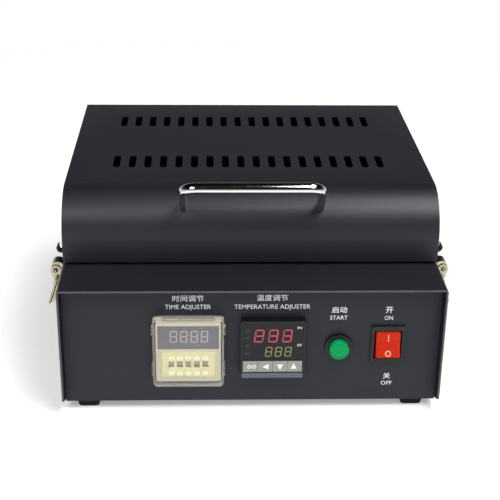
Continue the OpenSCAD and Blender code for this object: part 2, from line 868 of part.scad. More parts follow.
module mains_inlet() {
    y = rear_y + inlet_flange_t;
    color("#17181a") difference() {
        union() {
            along_y(rear_y, inlet_flange_t)
                round_rect(inlet_x, inlet_z, inlet_screw_gap + 10, inlet_body_h + 4, 3);
            along_y(y - 24, 24) flat_rect(inlet_x, inlet_z, inlet_body_w, inlet_body_h);
            for (i = [-1 : 1]) {
                x = inlet_x + i * 7;
                box(x - 3, x + 3, y - 24 - inlet_tab, y - 24, inlet_z - 0.4, inlet_z + 0.4);
            }
        }
        // The socket, with two corners cut as the plug's are
        along_y(y - socket_deep, socket_deep + 1) translate([inlet_x, inlet_z]) polygon([
            [-socket_w / 2, -socket_h / 2], [socket_w / 2, -socket_h / 2], [socket_w / 2, 3],
            [socket_w / 2 - 5, socket_h / 2], [-socket_w / 2 + 5, socket_h / 2], [-socket_w / 2, 3]
        ]);
        for (x = inlet_screw_xs()) {
            rod_y(x, rear_y - 1, inlet_z, inlet_flange_t + 2, screw_d / 2 + 0.05);
        }
    }
    color("#c9c5b2") {
        for (i = [-1, 1]) {
            inlet_pin(inlet_x + i * 7, inlet_z - 2);
        }
        inlet_pin(inlet_x, inlet_z + 3);
    }
}

module inlet_pin(x, z) {
    y = rear_y + inlet_flange_t;
    box(x - 1, x + 1, y - socket_deep, y - 2.5, z - 2, z + 2);
}

// A round wire along straight runs with ball corners
module wire_run(points, r) {
    for (i = [0 : len(points) - 2]) {
        run = points[i + 1] - points[i];
        translate(points[i]) rotate([0, acos(run[2] / norm(run)), atan2(run[1], run[0])])
            cylinder(h = norm(run), r = r);
    }
    for (i = [1 : len(points) - 2]) {
        translate(points[i]) sphere(r = r + 0.1);
    }
}

module wiring_loom() {
    r = loom_d / 2;
    tabs_y = rear_y + inlet_flange_t - 24;
    tabs_x = inlet_x + 9.5;
    side_x = terminal_x + 18;
    switch_back = panel_y + switch_depth;
    relay_end = relay_x + relay_w / 2;
    color("#3a2222") {
        wire_run([
            [tabs_x, tabs_y, inlet_z - 4], [tabs_x, tabs_y - 14, inlet_z - 4],
            [side_x, tabs_y - 26, loom_z], [side_x, terminal_y + terminal_depth, loom_z]
        ], r);
        wire_run([
            [switch_x, terminal_y, loom_z], [switch_x, terminal_y - 12, loom_z],
            [switch_x, switch_back + 6, switch_z - 7], [switch_x, switch_back, switch_z - 7]
        ], r);
        wire_run([
            [terminal_x - 20, terminal_y, loom_z], [terminal_x - 20, terminal_y - 10, loom_z],
            [relay_end + 11, terminal_y - 10, loom_z], [relay_end, terminal_y - 10, loom_z]
        ], r);
    }
}

// ---- Hinges ----

function inlet_screw_xs() = [inlet_x - inlet_screw_gap / 2, inlet_x + inlet_screw_gap / 2];
function latch_rivet_zs() = [latch_z - 20, latch_z - 14];
function standoff_x() = plate_w / 2 - 12;
function standoff_y() = plate_d / 2 - 12;
// Screw places on a leaf: side is -1 on the base and 1 on the lid
function hinge_screw_places(side) = [
    for (s = [-1, 1]) for (i = [-1, 1])
        [s * hinge_x + i * hinge_w * 0.32, hinge_z + side * (hinge_leaf_h - 6)]
];
function knuckle_len() = hinge_w / 5;

// One knuckle of five, counted 0 to 4 across the hinge
module knuckle_solid(i, r) {
    x = -hinge_w / 2 + i * knuckle_len() + knuckle_gap / 2;
    rod_x(x, hinge_y, hinge_z, knuckle_len() - knuckle_gap, r);
}

// A leaf with its knuckles; side is -1 for the base's leaf and 1 for the lid's
module hinge_leaf(side, knuckles, bore_r) {
    edge = knuckle_r + 0.4;
    z0 = side < 0 ? hinge_z - hinge_leaf_h : hinge_z + edge;
    z1 = side < 0 ? hinge_z - edge : hinge_z + hinge_leaf_h;
    difference() {
        union() {
            box(-hinge_w / 2, hinge_w / 2, rear_y, rear_y + hinge_leaf_t, z0, z1);
            for (i = knuckles) {
                x = -hinge_w / 2 + i * knuckle_len() + knuckle_gap / 2;
                knuckle_solid(i, knuckle_r);
                box(
                    x, x + knuckle_len() - knuckle_gap, rear_y, rear_y + hinge_leaf_t,
                    side < 0 ? z1 - 1 : hinge_z, side < 0 ? hinge_z : z0 + 1
                );
                // The lid's knuckles carry a stop that meets the base's leaf when the lid is open
                if (side > 0) {
                    box(
                        x, x + knuckle_len() - knuckle_gap, hinge_y + hinge_pin_r + 0.5,
                        hinge_y + hinge_stop_reach, hinge_z - 0.6, hinge_z + 0.6
                    );
                }
            }
        }
        rod_x(-hinge_w, hinge_y, hinge_z, 2 * hinge_w, bore_r);
        for (i = [-1, 1]) {
            rod_y(
                i * hinge_w * 0.32, rear_y - 1, hinge_z + side * (hinge_leaf_h - 6),
                hinge_leaf_t + 2, hinge_screw_r
            );
        }
    }
}

module hinge_base_leaves() {
    color("#a8abae") both_sides() translate([hinge_x, 0, 0]) hinge_leaf(-1, [0, 2, 4], hinge_pin_r);
}

module hinge_lid_leaves() {
    color("#a8abae") both_sides() translate([hinge_x, 0, 0])
        hinge_leaf(1, [1, 3], hinge_pin_r + pin_clearance);
}

module hinge_pins() {
    color("#c8cacc") both_sides() translate([hinge_x, 0, 0])
        rod_x(-hinge_w / 2, hinge_y, hinge_z, hinge_w, hinge_pin_r);
}

// ---- Lid ----

// The lid seen from the side, drawn in Y and Z
module lid_outline(inset) {
    r = lid_bend_r - inset;
    q = lid_rear_r - inset;
    y0 = lid_front_y + inset;
    y1 = rear_y - inset;
    z1 = lid_top_z - inset;
    translate([y0, lid_z]) square([y1 - y0, bend_z - lid_z]);
    translate([bend_y, lid_z]) square([y1 - q - bend_y, z1 - lid_z]);
    translate([bend_y, lid_z]) square([y1 - bend_y, z1 - q - lid_z]);
    translate([bend_y, bend_z]) intersection() {
        circle(r = r);
        translate([-r, 0]) square(r);
    }
    translate([y1 - q, z1 - q]) circle(r = q);
}

module vent_slots() {
    for (row = [-1, 1]) {
        for (i = [0 : vent_count - 1]) {
            translate([(i - (vent_count - 1) / 2) * vent_pitch, vent_mid_y + row * vent_row_gap / 2]) {
                square([vent_w, vent_len - vent_w], center = true);
                for (j = [-1, 1]) {
                    translate([0, j * (vent_len - vent_w) / 2]) circle(r = vent_w / 2);
                }
            }
        }
    }
}

// Moves a shape drawn up the Z axis onto the lid's bend, along the handle's legs
module on_bend() {
    translate([0, bend_y, bend_z]) rotate([90 - handle_angle, 0, 0]) children();
}

module lid_shell() {
    w = lid_w;
    f = lid_t + lid_flange_w;
    color("#26282c") difference() {
        union() {
            difference() {
                along_x(-w / 2, w) lid_outline(0);
                translate([0, 0, -EPS]) along_x(-w / 2 + lid_t, w - 2 * lid_t) lid_outline(lid_t);
            }
            difference() {
                box(
                    -w / 2 + lid_t / 2, w / 2 - lid_t / 2, lid_front_y + lid_t / 2, rear_y - lid_t / 2,
                    lid_z, lid_z + lid_t
                );
                box(-w / 2 + f, w / 2 - f, lid_front_y + f, rear_y - f, lid_z - 1, lid_z + lid_t + 1);
            }
        }
        translate([0, 0, lid_top_z - 2 * lid_t]) linear_extrude(3 * lid_t) vent_slots();
        on_bend() both_sides() translate([handle_span / 2, 0, lid_bend_r - 2 * lid_t])
            cylinder(h = 4 * lid_t, r = handle_screw_d / 2 + 0.1);
        for (p = hinge_screw_places(1)) {
            rod_y(p[0], rear_y - 2 * lid_t, p[1], 3 * lid_t, hinge_screw_r);
        }
        for (z = keeper_rivet_zs()) {
            rod_x(-body_w, latch_mid_y, z, 2 * body_w, rivet_r);
        }
    }
}

module lid_liner() {
    x = chamber_w / 2 + liner_margin;
    y0 = chamber_y0 - liner_margin;
    y1 = chamber_y1 + liner_margin;
    t = liner_t;
    z = lid_z + lid_t;
    color("#c4c7c9") difference() {
        union() {
            box(-x - t, x + t, y0 - t, y1 + t, z, liner_top_z + t);
            box(
                -lid_w / 2 + lid_t + 2, lid_w / 2 - lid_t - 2,
                lid_front_y + lid_t + 2, rear_y - lid_t - 2, z, z + t
            );
        }
        box(-x, x, y0, y1, lid_z - 1, liner_top_z);
    }
}

module lid_insulation_board() {
    x = chamber_w / 2 + liner_margin;
    color("#e4dfd2") box(
        -x, x, chamber_y0 - liner_margin, chamber_y1 + liner_margin,
        liner_top_z + liner_t, liner_top_z + liner_t + lid_insulation_t
    );
}

// The handle's bar in section: across the handle by along it
module bar_section() {
    round_rect(0, 0, handle_t, handle_w, handle_t * 0.4);
}

module lid_handle() {
    leg = lid_bend_r + handle_h - handle_bend_r;
    half = handle_span / 2;
    color("#d9dbdd") difference() {
        on_bend() {
            both_sides() {
                translate([half, 0, lid_bend_r - 2]) linear_extrude(leg - lid_bend_r + 2) bar_section();
                translate([half - handle_bend_r, 0, leg]) rotate([90, 0, 0])
                    rotate_extrude(angle = 90) translate([handle_bend_r, 0]) bar_section();
            }
            translate([-half + handle_bend_r, 0, leg + handle_bend_r]) rotate([0, 90, 0])
                linear_extrude(handle_span - 2 * handle_bend_r) bar_section();
        }
        rod_x(-body_w, bend_y, bend_z, 2 * body_w, lid_bend_r);
        on_bend() both_sides() translate([half, 0, lid_bend_r - 3]) cylinder(h = 15, r = handle_screw_d / 2);
    }
}

// Handle screws, hinge screws and keeper rivets
module lid_screws() {
    washer = 1;
    color("#8d9094") {
        on_bend() both_sides() {
            translate([handle_span / 2, 0, lid_bend_r - lid_t - washer - 2.2]) {
                cylinder(h = 2.4, r = handle_screw_d * 0.9);
                cylinder(h = 2.2 + lid_t + 11, r = handle_screw_d / 2);
            }
        }
        for (p = hinge_screw_places(1)) {
            translate([p[0], rear_y + hinge_leaf_t, p[1]]) rotate([-90, 0, 0])
                screw(hinge_screw_r, hinge_leaf_t + lid_t + 2);
        }
        both_sides() {
            for (z = keeper_rivet_zs()) {
                translate([body_w / 2 - lid_side_step + keeper_plate_t, latch_mid_y, z]) rotate([0, 90, 0]) {
                    rivet(keeper_plate_t + lid_t);
                }
            }
        }
    }
}

// ---- Latches ----

function keeper_rivet_zs() = [keeper_z() + keeper_tip + 4.5, keeper_z() + keeper_tip + 10.5];
function keeper_z() = latch_z + keeper_mid[1];

// Carries a drawing of (out, up from the latch's pivot) along Y, centred on the right-hand latch
module latch_slab(half) {
    translate([body_w / 2, latch_mid_y + half, latch_z]) rotate([90, 0, 0])
        linear_extrude(2 * half) children();
}

// The same slab, once on each side of the latch's middle
module latch_cheeks(inner, outer) {
    difference() {
        latch_slab(outer) children();
        translate([body_w / 2 - 50, latch_mid_y - inner, latch_z - 50]) cube([100, 2 * inner, 100]);
    }
}

module latch_rod(p, half, r) {
    rod_y(body_w / 2 + p[0], latch_mid_y - half, latch_z + p[1], 2 * half, r);
}

module one_bracket() {
    pivot = [latch_out, 0];
    cheek = hood_r - latch_t / 2;
    difference() {
        union() {
            latch_slab(ear_half) translate([0, -24]) square([latch_t, 24 + hood[1]]);
            latch_cheeks(ear_half - latch_t, ear_half) {
                polygon([
                    [0, -9], [latch_t, -9], [latch_out, -3],
                    hood + [0, cheek], hood - [cheek, 0], [0, hood[1]]
                ]);
                translate(pivot) circle(r = 3);
                translate(hood) circle(r = cheek);
            }
            // The hood over the pivot: the back plate rolled over and down on the outside
            latch_slab(ear_half) difference() {
                translate(hood) circle(r = hood_r);
                translate(hood) circle(r = hood_r - latch_t);
                translate([latch_t, -20]) square([hood[0] - latch_t, 20 + hood[1]]);
                translate([0, -20]) square([20, 20 + hood[1] - 2.6]);
            }
        }
        latch_rod(pivot, latch_w, latch_pin_d / 2);
        for (z = latch_rivet_zs()) {
            rod_x(body_w / 2 - 1, latch_mid_y, z, latch_t + 2, rivet_r);
        }
    }
    latch_rod(pivot, latch_half, latch_pin_d / 2);
    for (s = [-1, 1]) {
        translate([0, s * (latch_half + 0.25), 0]) latch_rod(pivot, 0.25, latch_pin_d * 0.8);
    }
}

module latch_brackets() {
    color("#c9c8bd") both_sides() one_bracket();
}

module one_lever() {
    pivot = [latch_out, 0];
    line = [
        pivot + [0.4, waist[1] + 0.2], pivot + [1.2, -lever_len * 0.6],
        pivot + [2.1, -lever_len * 0.86], pivot + lever_tip
    ];
    difference() {
        union() {
            latch_cheeks(latch_half - latch_t, latch_half) {
                taper_link(pivot, 3.9, pivot + waist, waist_r);
                stroke(line, lever_edge_w);
            }
            latch_slab(latch_half) stroke(line, 1.2);
        }
        latch_rod(pivot, latch_w, latch_pin_d / 2 + pin_clearance);
        latch_rod(pivot + bail_pivot, latch_w, bail_r + pin_clearance);
    }
}

module latch_lever_right() {
    color("#cfcdbf") one_lever();
}

module latch_lever_left() {
    color("#cfcdbf") mirror([1, 0, 0]) one_lever();
}

// The wire bail, hanging
module one_bail() {
    pivot = [latch_out, 0] + bail_pivot;
    stub = latch_half - latch_t - 0.1;
    translate([body_w / 2 + pivot[0], latch_mid_y, latch_z + pivot[1]]) rotate([0, -bail_lean, 0]) {
        for (s = [-1, 1]) {
            translate([0, s * stub, 0]) rotate([-s * 90, 0, 0]) cylinder(h = bail_side - stub, r = bail_r);
            translate([0, s * bail_side, 0]) sphere(r = bail_r);
            translate([0, s * bail_side, -bail_len]) cylinder(h = bail_len, r = bail_r);
            translate([0, s * bail_side, -bail_len]) sphere(r = bail_r);
        }
        translate([0, -bail_side, -bail_len]) rotate([-90, 0, 0]) cylinder(h = 2 * bail_side, r = bail_r);
    }
}

module latch_bail_right() {
    color("#cfcdbf") one_bail();
}

module latch_bail_left() {
    color("#cfcdbf") mirror([1, 0, 0]) one_bail();
}

module one_keeper() {
    plate_x = -lid_side_step;
    c = keeper_mid;
    slot_x0 = c[0] - keeper_slot_r;
    slot_x1 = c[0] + keeper_slot_r;
    tip_z = c[1] + keeper_tip;
    latch_slab(keeper_w / 2) {
        translate([plate_x, c[1] - keeper_ring_r]) square([keeper_plate_t, keeper_ring_r + keeper_tip + 14]);
        difference() {
            union() {
                translate(c) circle(r = keeper_ring_r);
                polygon([
                    [slot_x1 - 1, c[1]], [c[0] + keeper_ring_r, c[1]],
                    [slot_x1 + 0.7, tip_z], [slot_x1, tip_z], [slot_x1 - 1, c[1] + 1]
                ]);
            }
            translate(c) circle(r = keeper_slot_r);
            translate([slot_x0, c[1]]) square([2 * keeper_slot_r, keeper_tip + 2]);
            translate([plate_x - 20, c[1] - 20]) square([20, 40]);
            translate([plate_x - EPS, c[1]]) square([keeper_plate_t + EPS, 20]);
        }
    }
}

module latch_keepers() {
    color("#2a2b2c") both_sides() difference() {
        one_keeper();
        for (z = keeper_rivet_zs()) {
            rod_x(0, latch_mid_y, z, body_w, rivet_r);
        }
    }
}

// ---- Temperature controller ----

module instrument_case(x, z, len) {
    inner = case_size - 2 * case_t;
    difference() {
        along_y(panel_y, len) flat_rect(x, z, case_size, case_size);
        along_y(panel_y - 1, len - case_t + 1) flat_rect(x, z, inner, inner);
    }
}

module controller_case() {
    color("#1d1e20") instrument_case(controller_x, controller_z, controller_len);
}

module controller_bezel() {
    inner = bezel_size - 2 * bezel_t;
    color("#242528") difference() {
        along_y(bezel_y, bezel_depth) round_rect(controller_x, controller_z, bezel_size, bezel_size, 1.5);
        along_y(bezel_y + bezel_t, bezel_depth) flat_rect(controller_x, controller_z, inner, inner);
        box(
            controller_x - display_w / 2, controller_x + display_w / 2, bezel_y - 1, panel_y + 1,
            display_z0, display_z1
        );
        box(
            controller_x - display_w / 2, controller_x + display_w / 2, bezel_y - 1, panel_y + 1,
            strip_z0, strip_z1
        );
    }
}

module controller_window() {
    w = display_w / 2 - part_gap;
    color("#101114") {
        box(
            controller_x - w, controller_x + w, bezel_y + 0.2, bezel_y + bezel_t + 0.8,
            display_z0 + part_gap, display_z1 - part_gap
        );
        box(
            controller_x - w, controller_x + w, bezel_y + bezel_t, bezel_y + bezel_t + 0.8,
            display_z0 + part_gap, display_z1 + 0.3
        );
    }
}

// A key, counted 0 to 3 from the left
module controller_key(i) {
    x0 = controller_x - display_w / 2 + i * key_w + part_gap;
    x1 = x0 + key_w - 2 * part_gap;
    color("#8b8c86") {
        box(x0, x1, bezel_y + 0.1, bezel_y + bezel_t + 0.8, strip_z0 + part_gap, strip_z1 - part_gap);
        box(x0, x1, bezel_y + bezel_t, bezel_y + bezel_t + 0.8, strip_z0 - 0.8, strip_z1 + 0.3);
    }
}

// ---- Timer ----

module timer_case() {
    color("#a9a99c") instrument_case(timer_x, timer_z, timer_len);
}

module timer_bezel() {
    half = bezel_size / 2;
    color("#b4b5a8") {
        difference() {
            along_y(bezel_y, bezel_depth) round_rect(timer_x, timer_z, bezel_size, bezel_size, 1.5);
            box(
                timer_x - timer_window_w / 2, timer_x + timer_window_w / 2, bezel_y - 1, bezel_y + 2.3,
                timer_window_z0, timer_window_z1
            );
            box(
                timer_x - timer_window_w / 2 + 1, timer_x + timer_window_w / 2 - 1, bezel_y - 1, panel_y + 1,
                timer_window_z0 + 1, timer_window_z1 - 1
            );
            box(
                timer_x - switch_block_w / 2 - part_gap, timer_x + switch_block_w / 2 + part_gap,
                bezel_y - 1, panel_y + 1, block_z0 - part_gap, block_z1 + part_gap
            );
        }
        // Lugs with a pivot stub each, for the clear cover
        for (s = [-1, 1]) {
            x0 = s < 0 ? timer_x - half + 0.5 : timer_x + half - 4.5;
            along_x(x0, 4) {
                translate([shield_pivot_y, shield_pivot_z]) circle(r = shield_lug_r);
                translate([shield_pivot_y - shield_lug_r, timer_z + half - 0.5])
                    square([2 * shield_lug_r, 2.3]);
            }
            rod_x(
                s < 0 ? timer_x - shield_w / 2 + 0.3 : timer_x + half - 1, shield_pivot_y, shield_pivot_z,
                shield_w / 2 - half + 0.7, shield_pin_r
            );
        }
    }
}

module timer_window() {
    w = timer_window_w / 2 - part_gap;
    color("#5b6173") box(
        timer_x - w, timer_x + w, bezel_y + 0.7, bezel_y + 2.3,
        timer_window_z0 + part_gap, timer_window_z1 - part_gap
    );
}

function digit_x(i) = timer_x + (i - 2) * digit_pitch;

module timer_switch_block() {
    w = switch_block_w;
    y1 = panel_y + 9;
    flange_w = case_size - 2 * case_t - 0.4;
    color("#e6e0b4") difference() {
        union() {
            box(timer_x - w / 2, timer_x + w / 2, block_y, y1, block_z0, block_z1);
            box(
                timer_x - flange_w / 2, timer_x + flange_w / 2, panel_y, panel_y + 2,
                block_z0 - 1, block_z1 + 1
            );
        }
        box(
            timer_x - w / 2 + 1.2, timer_x + w / 2 - 1.2, block_y + block_t, y1 + 1,
            block_z0 + 0.8, block_z1 - 0.8
        );
        for (i = [0 : 4]) {
            x = digit_x(i);
            gap = timer_key_w / 2 + part_gap;
            box(
                x - digit_w / 2, x + digit_w / 2, block_y - 1, block_y + 3,
                digit_z - digit_h / 2, digit_z + digit_h / 2
            );
            for (z = [plus_z, minus_z]) {
                box(
                    x - gap, x + gap, block_y - 1, block_y + 3,
                    z - timer_key_h / 2 - part_gap, z + timer_key_h / 2 + part_gap
                );
            }
        }
        rod_x(timer_x - w, wheel_y, digit_z, 2 * w, 1);
    }
}

module timer_digit_wheels() {
    color("#efece0") {
        for (i = [0 : 4]) {
            rod_x(digit_x(i) - digit_w / 2, wheel_y, digit_z, digit_w, wheel_r);
        }
        rod_x(timer_x - switch_block_w / 2, wheel_y, digit_z, switch_block_w, 1);
    }
}

// A timer key at a digit, counted 0 to 4 from the left
module timer_key(i, z) {
    x = digit_x(i);
    back = block_y + block_t;
    color("#efe9c4") {
        box(
            x - timer_key_w / 2, x + timer_key_w / 2, block_y - key_proud, back + 0.6,
            z - timer_key_h / 2, z + timer_key_h / 2
        );
        box(
            x - timer_key_w / 2 - 0.5, x + timer_key_w / 2 + 0.5, back, back + 0.6,
            z - timer_key_h / 2, z + timer_key_h / 2
        );
    }
}

// The cover's side wall in Y and Z: round about the pivot, so that it turns clear of the panel
module shield_side(inset) {
    y0 = shield_y + inset;
    y1 = shield_pivot_y + shield_r;
    z0 = shield_z0 + inset;
    z1 = shield_z1 - inset;
    translate([shield_pivot_y, shield_pivot_z]) circle(r = shield_r - inset);
    translate([y0, z0]) square([y1 - y0, shield_pivot_z - z0]);
    translate([y0, z0]) square([shield_pivot_y - y0, z1 - z0]);
}

module timer_cover() {
    w = shield_w;
    color("#c9cbc2", 0.45) difference() {
        union() {
            along_x(timer_x - w / 2, w) shield_side(0);
            // Finger grips on both sides
            for (s = [-1, 1]) {
                x = timer_x + s * (w / 2 + 0.2);
                y = shield_y + 1.5;
                box(x - 0.7, x + 0.7, y, y + 4.5, shield_pivot_z - 10.5, shield_pivot_z - 4);
                box(x - 0.7, x + 0.7, y, y + 4.5, shield_z0 + 9, shield_z0 + 20);
            }
        }
        along_x(timer_x - w / 2 + shield_t, w - 2 * shield_t) {
            y0 = shield_y + shield_t;
            y1 = panel_y + 1;
            translate([y0, shield_z0 + shield_t]) square([y1 - y0, shield_z1 - shield_z0 - 2 * shield_t]);
            // The top wall stops short, so that it clears the timer when the cover is open
            translate([shield_pivot_y + 1, shield_pivot_z - 2]) square([10, 10]);
        }
        rod_x(timer_x - w, shield_pivot_y, shield_pivot_z, 2 * w, shield_pin_r + pin_clearance);
    }
}

// ---- Start button ----

module start_button_barrel() {
    color("#1b1c1e") difference() {
        union() {
            rod_y(button_x, panel_y - ring_t, button_z, ring_t, ring_d / 2);
            rod_y(button_x, panel_y, button_z, barrel_len, barrel_r);
        }
        rod_y(button_x, panel_y - ring_t - 1, button_z, bore_floor_y - panel_y + ring_t + 1, cap_bore_r);
        rod_y(button_x, panel_y, button_z, bore_floor_y + bore_floor_t - panel_y + 0.5, stem_r + 0.1);
        rod_y(
            button_x, bore_floor_y + bore_floor_t, button_z,
            barrel_len - 1.5 - (bore_floor_y + bore_floor_t - panel_y), barrel_r - 1.5
        );
    }
    // Terminal tabs
    color("#b8b4a0") {
        for (s = [-1, 1]) {
            x = button_x + s * 3.5;
            y = panel_y + barrel_len;
            box(x - 0.4, x + 0.4, y, y + 6, button_z - 1.4, button_z + 1.4);
        }
    }
}

module start_button_nut() {
    color("#2a2b2d") difference() {
        rod_hex(button_x, panel_back_y, button_z, 3.5, barrel_r + 3.2);
        rod_y(button_x, panel_back_y - 1, button_z, 6, barrel_r);
    }
}

module rod_hex(x, y, z, len, r) {
    translate([x, y, z]) rotate([-90, 0, 0]) cylinder(h = len, r = r, $fn = 6);
}

module start_button_cap() {
    dome = 0.8;
    color("#00a85a") {
        rod_y(button_x, panel_y - cap_out + dome, button_z, cap_out - dome + cap_back_y - panel_y, cap_r);
        translate([button_x, panel_y - cap_out, button_z]) rotate([-90, 0, 0])
            cylinder(h = dome, r1 = cap_r - dome, r2 = cap_r);
        rod_y(button_x, cap_back_y, button_z, bore_floor_y + bore_floor_t + 1 - cap_back_y, stem_r);
        rod_y(button_x, bore_floor_y + bore_floor_t, button_z, 1, stem_clip_r);
    }
}

// Points of the spring's round wire: ring by ring along a helix about Y
function spring_ring(k) =
    let (
        n = spring_turns * spring_steps,
        a = 360 * k / spring_steps,
        r = spring_wire_d / 2,
        y = cap_back_y + r + (bore_floor_y - cap_back_y - 2 * r) * k / n
    )
    [for (j = [0 : spring_sides - 1])
        let (b = 360 * j / spring_sides, out = spring_r + r * cos(b))
        [button_x + out * cos(a), y + r * sin(b), button_z + out * sin(a)]];

module start_button_spring() {
    n = spring_turns * spring_steps;
    s = spring_sides;
    points = [for (k = [0 : n]) for (p = spring_ring(k)) p];
    sides = [for (k = [0 : n - 1]) for (j = [0 : s - 1])
        [k * s + j, k * s + (j + 1) % s, (k + 1) * s + (j + 1) % s, (k + 1) * s + j]];
    ends = [[for (j = [s - 1 : -1 : 0]) j], [for (j = [0 : s - 1]) n * s + j]];
    color("#b9bbbd") polyhedron(points, concat(sides, ends));
}

// ---- Mains switch ----

function switch_body_w() = rocker_w + 2 * rocker_gap + 2;
function switch_body_h() = 2 * rocker_hole_h + 3;

module switch_frame() {
    w = rocker_w + 2 * rocker_gap;
    color("#202124") {
        difference() {
            union() {
                along_y(panel_y - switch_t, switch_t) round_rect(switch_x, switch_z, switch_w, switch_h, 1.2);
                along_y(panel_y, switch_depth)
                    flat_rect(switch_x, switch_z, switch_body_w(), switch_body_h());
            }
            along_y(panel_y - switch_t - 1, switch_depth - 0.5)
                flat_rect(switch_x, switch_z, w, 2 * rocker_hole_h);
            rod_x(
                switch_x - w / 2 - 0.8, rocker_y, switch_z, w + 1.6,
                rocker_pin_r + pin_clearance
            );
        }
    }
    color("#b8b4a0") {
        for (i = [-1, 1]) {
            for (j = [-1, 1]) {
                box(
                    switch_x + i * 5 - 0.4, switch_x + i * 5 + 0.4, panel_y + switch_depth,
                    panel_y + switch_depth + 7, switch_z + j * 7 - 2.4, switch_z + j * 7 + 2.4
                );
            }
        }
    }
}

// The rocker, at rest with its upper half pressed in
module power_rocker() {
    color("#d4300f") translate([switch_x, rocker_y, switch_z]) rotate([-rocker_tilt, 0, 0]) {
        along_x(-rocker_w / 2, rocker_w) intersection() {
            circle(r = rocker_r);
            translate([-rocker_face, -20]) square([rocker_face + 6, 40]);
        }
        rod_x(-rocker_w / 2 - rocker_gap - 0.7, 0, 0, rocker_w + 2 * rocker_gap + 1.4, rocker_pin_r);
    }
}

base_cover();
chassis_pan();
front_panel();
rear_panel();
rubber_feet();
base_fasteners();
chamber_pan();
insulation_board();
heater_plate();
plate_standoffs();
cartridge_heaters();
thermocouple();
solid_state_relay();
terminal_block();
mains_inlet();
wiring_loom();
hinge_base_leaves();
hinge_pins();
latch_brackets();
lid_bumpers();
controller_case();
controller_bezel();
controller_window();
timer_case();
timer_bezel();
timer_window();
timer_switch_block();
timer_digit_wheels();
start_button_barrel();
start_button_nut();
start_button_spring();
switch_frame();
lid_shell();
lid_liner();
lid_insulation_board();
lid_handle();
lid_screws();
latch_keepers();
hinge_lid_leaves();
latch_lever_left();
latch_lever_right();
latch_bail_left();
latch_bail_right();
timer_cover();
start_button_cap();
power_rocker();
controller_key(0);  // controller_key_set
controller_key(1);  // controller_key_left
controller_key(2);  // controller_key_down
controller_key(3);  // controller_key_up
timer_key(0, plus_z);  // timer_plus_key_1
timer_key(1, plus_z);  // timer_plus_key_2
timer_key(2, plus_z);  // timer_plus_key_3
timer_key(3, plus_z);  // timer_plus_key_4
timer_key(4, plus_z);  // timer_plus_key_5
timer_key(0, minus_z);  // timer_minus_key_1
timer_key(1, minus_z);  // timer_minus_key_2
timer_key(2, minus_z);  // timer_minus_key_3
timer_key(3, minus_z);  // timer_minus_key_4
timer_key(4, minus_z);  // timer_minus_key_5
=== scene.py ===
# A bench reflow oven dressed over its solid frame: coated sheet, latches, panel instruments and studio.
import json

import bmesh
import bpy
import numpy as np
from mathutils import Matrix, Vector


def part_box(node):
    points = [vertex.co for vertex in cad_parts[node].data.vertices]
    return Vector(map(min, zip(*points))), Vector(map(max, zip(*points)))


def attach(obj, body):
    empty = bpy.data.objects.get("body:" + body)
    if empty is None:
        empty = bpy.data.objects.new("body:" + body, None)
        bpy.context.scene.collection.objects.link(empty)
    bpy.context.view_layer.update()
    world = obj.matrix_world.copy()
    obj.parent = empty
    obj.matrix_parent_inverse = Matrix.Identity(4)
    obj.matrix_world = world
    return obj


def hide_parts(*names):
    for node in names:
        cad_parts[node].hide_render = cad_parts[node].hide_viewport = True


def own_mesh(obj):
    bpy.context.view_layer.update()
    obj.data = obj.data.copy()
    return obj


mm = 0.001

# the camera comes before anything else; place in millimetres, angles in degrees, lens for a 36 mm sensor
cameraView = {"place": (-34.45, -907.26, 486.37), "down": 24.51, "left": 2.36, "roll": 0.86, "lens": 85.41}


def turned(a, b, angle):
    # two directions at right angles, turned together in their own plane
    return a * np.cos(angle) + b * np.sin(angle), b * np.cos(angle) - a * np.sin(angle)


def placed(thing, right, up, place):
    # stands a camera or lamp at a place, looking against right x up
    matrix = np.eye(4)
    matrix[:3, 0], matrix[:3, 1], matrix[:3, 2], matrix[:3, 3] = right, up, np.cross(right, up), place
    holder = bpy.data.objects.new(thing.name, thing)
    holder.matrix_world = Matrix(matrix.tolist())
    bpy.context.scene.collection.objects.link(holder)
    return holder


def makeCamera():
    down, left, roll = np.radians([cameraView[key] for key in ("down", "left", "roll")])
    ahead = np.array([np.sin(left) * np.cos(down), np.cos(left) * np.cos(down), -np.sin(down)])
    right = np.array([np.cos(left), -np.sin(left), 0.0])
    right, up = turned(right, np.cross(right, ahead), roll)
    camera = bpy.data.cameras.new("camera")
    camera.lens, camera.sensor_width, camera.clip_start, camera.clip_end = cameraView["lens"], 36, 0.01, 50
    bpy.context.scene.camera = placed(camera, right, up, np.array(cameraView["place"]) * mm)


makeCamera()
bpy.context.scene.view_settings.view_transform = "Standard"
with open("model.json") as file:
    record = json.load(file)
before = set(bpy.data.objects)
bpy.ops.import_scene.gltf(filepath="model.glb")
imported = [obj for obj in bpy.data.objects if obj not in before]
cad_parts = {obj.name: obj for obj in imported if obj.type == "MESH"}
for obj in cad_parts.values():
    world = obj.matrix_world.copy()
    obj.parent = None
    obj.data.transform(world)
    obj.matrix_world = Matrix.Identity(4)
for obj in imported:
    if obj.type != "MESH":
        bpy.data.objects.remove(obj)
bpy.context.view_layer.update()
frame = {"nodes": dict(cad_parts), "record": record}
behaviour = frame["record"]["behaviour"]
bodyOf = {node: body for body, nodes in behaviour["bodies"].items() for node in nodes}
pivotOf = {joint["name"]: np.array(joint["pos_m"]) / mm for joint in behaviour["joints"] if "pos_m" in joint}
print("camera and frame:", len(frame["nodes"]), "nodes")


def cadBox(node):
    # a node's lowest and highest corners in millimetres
    low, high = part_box(node)
    return np.array(low) / mm, np.array(high) / mm


def camel(name):
    first, *rest = name.split("_")
    return first + "".join(word.capitalize() for word in rest)


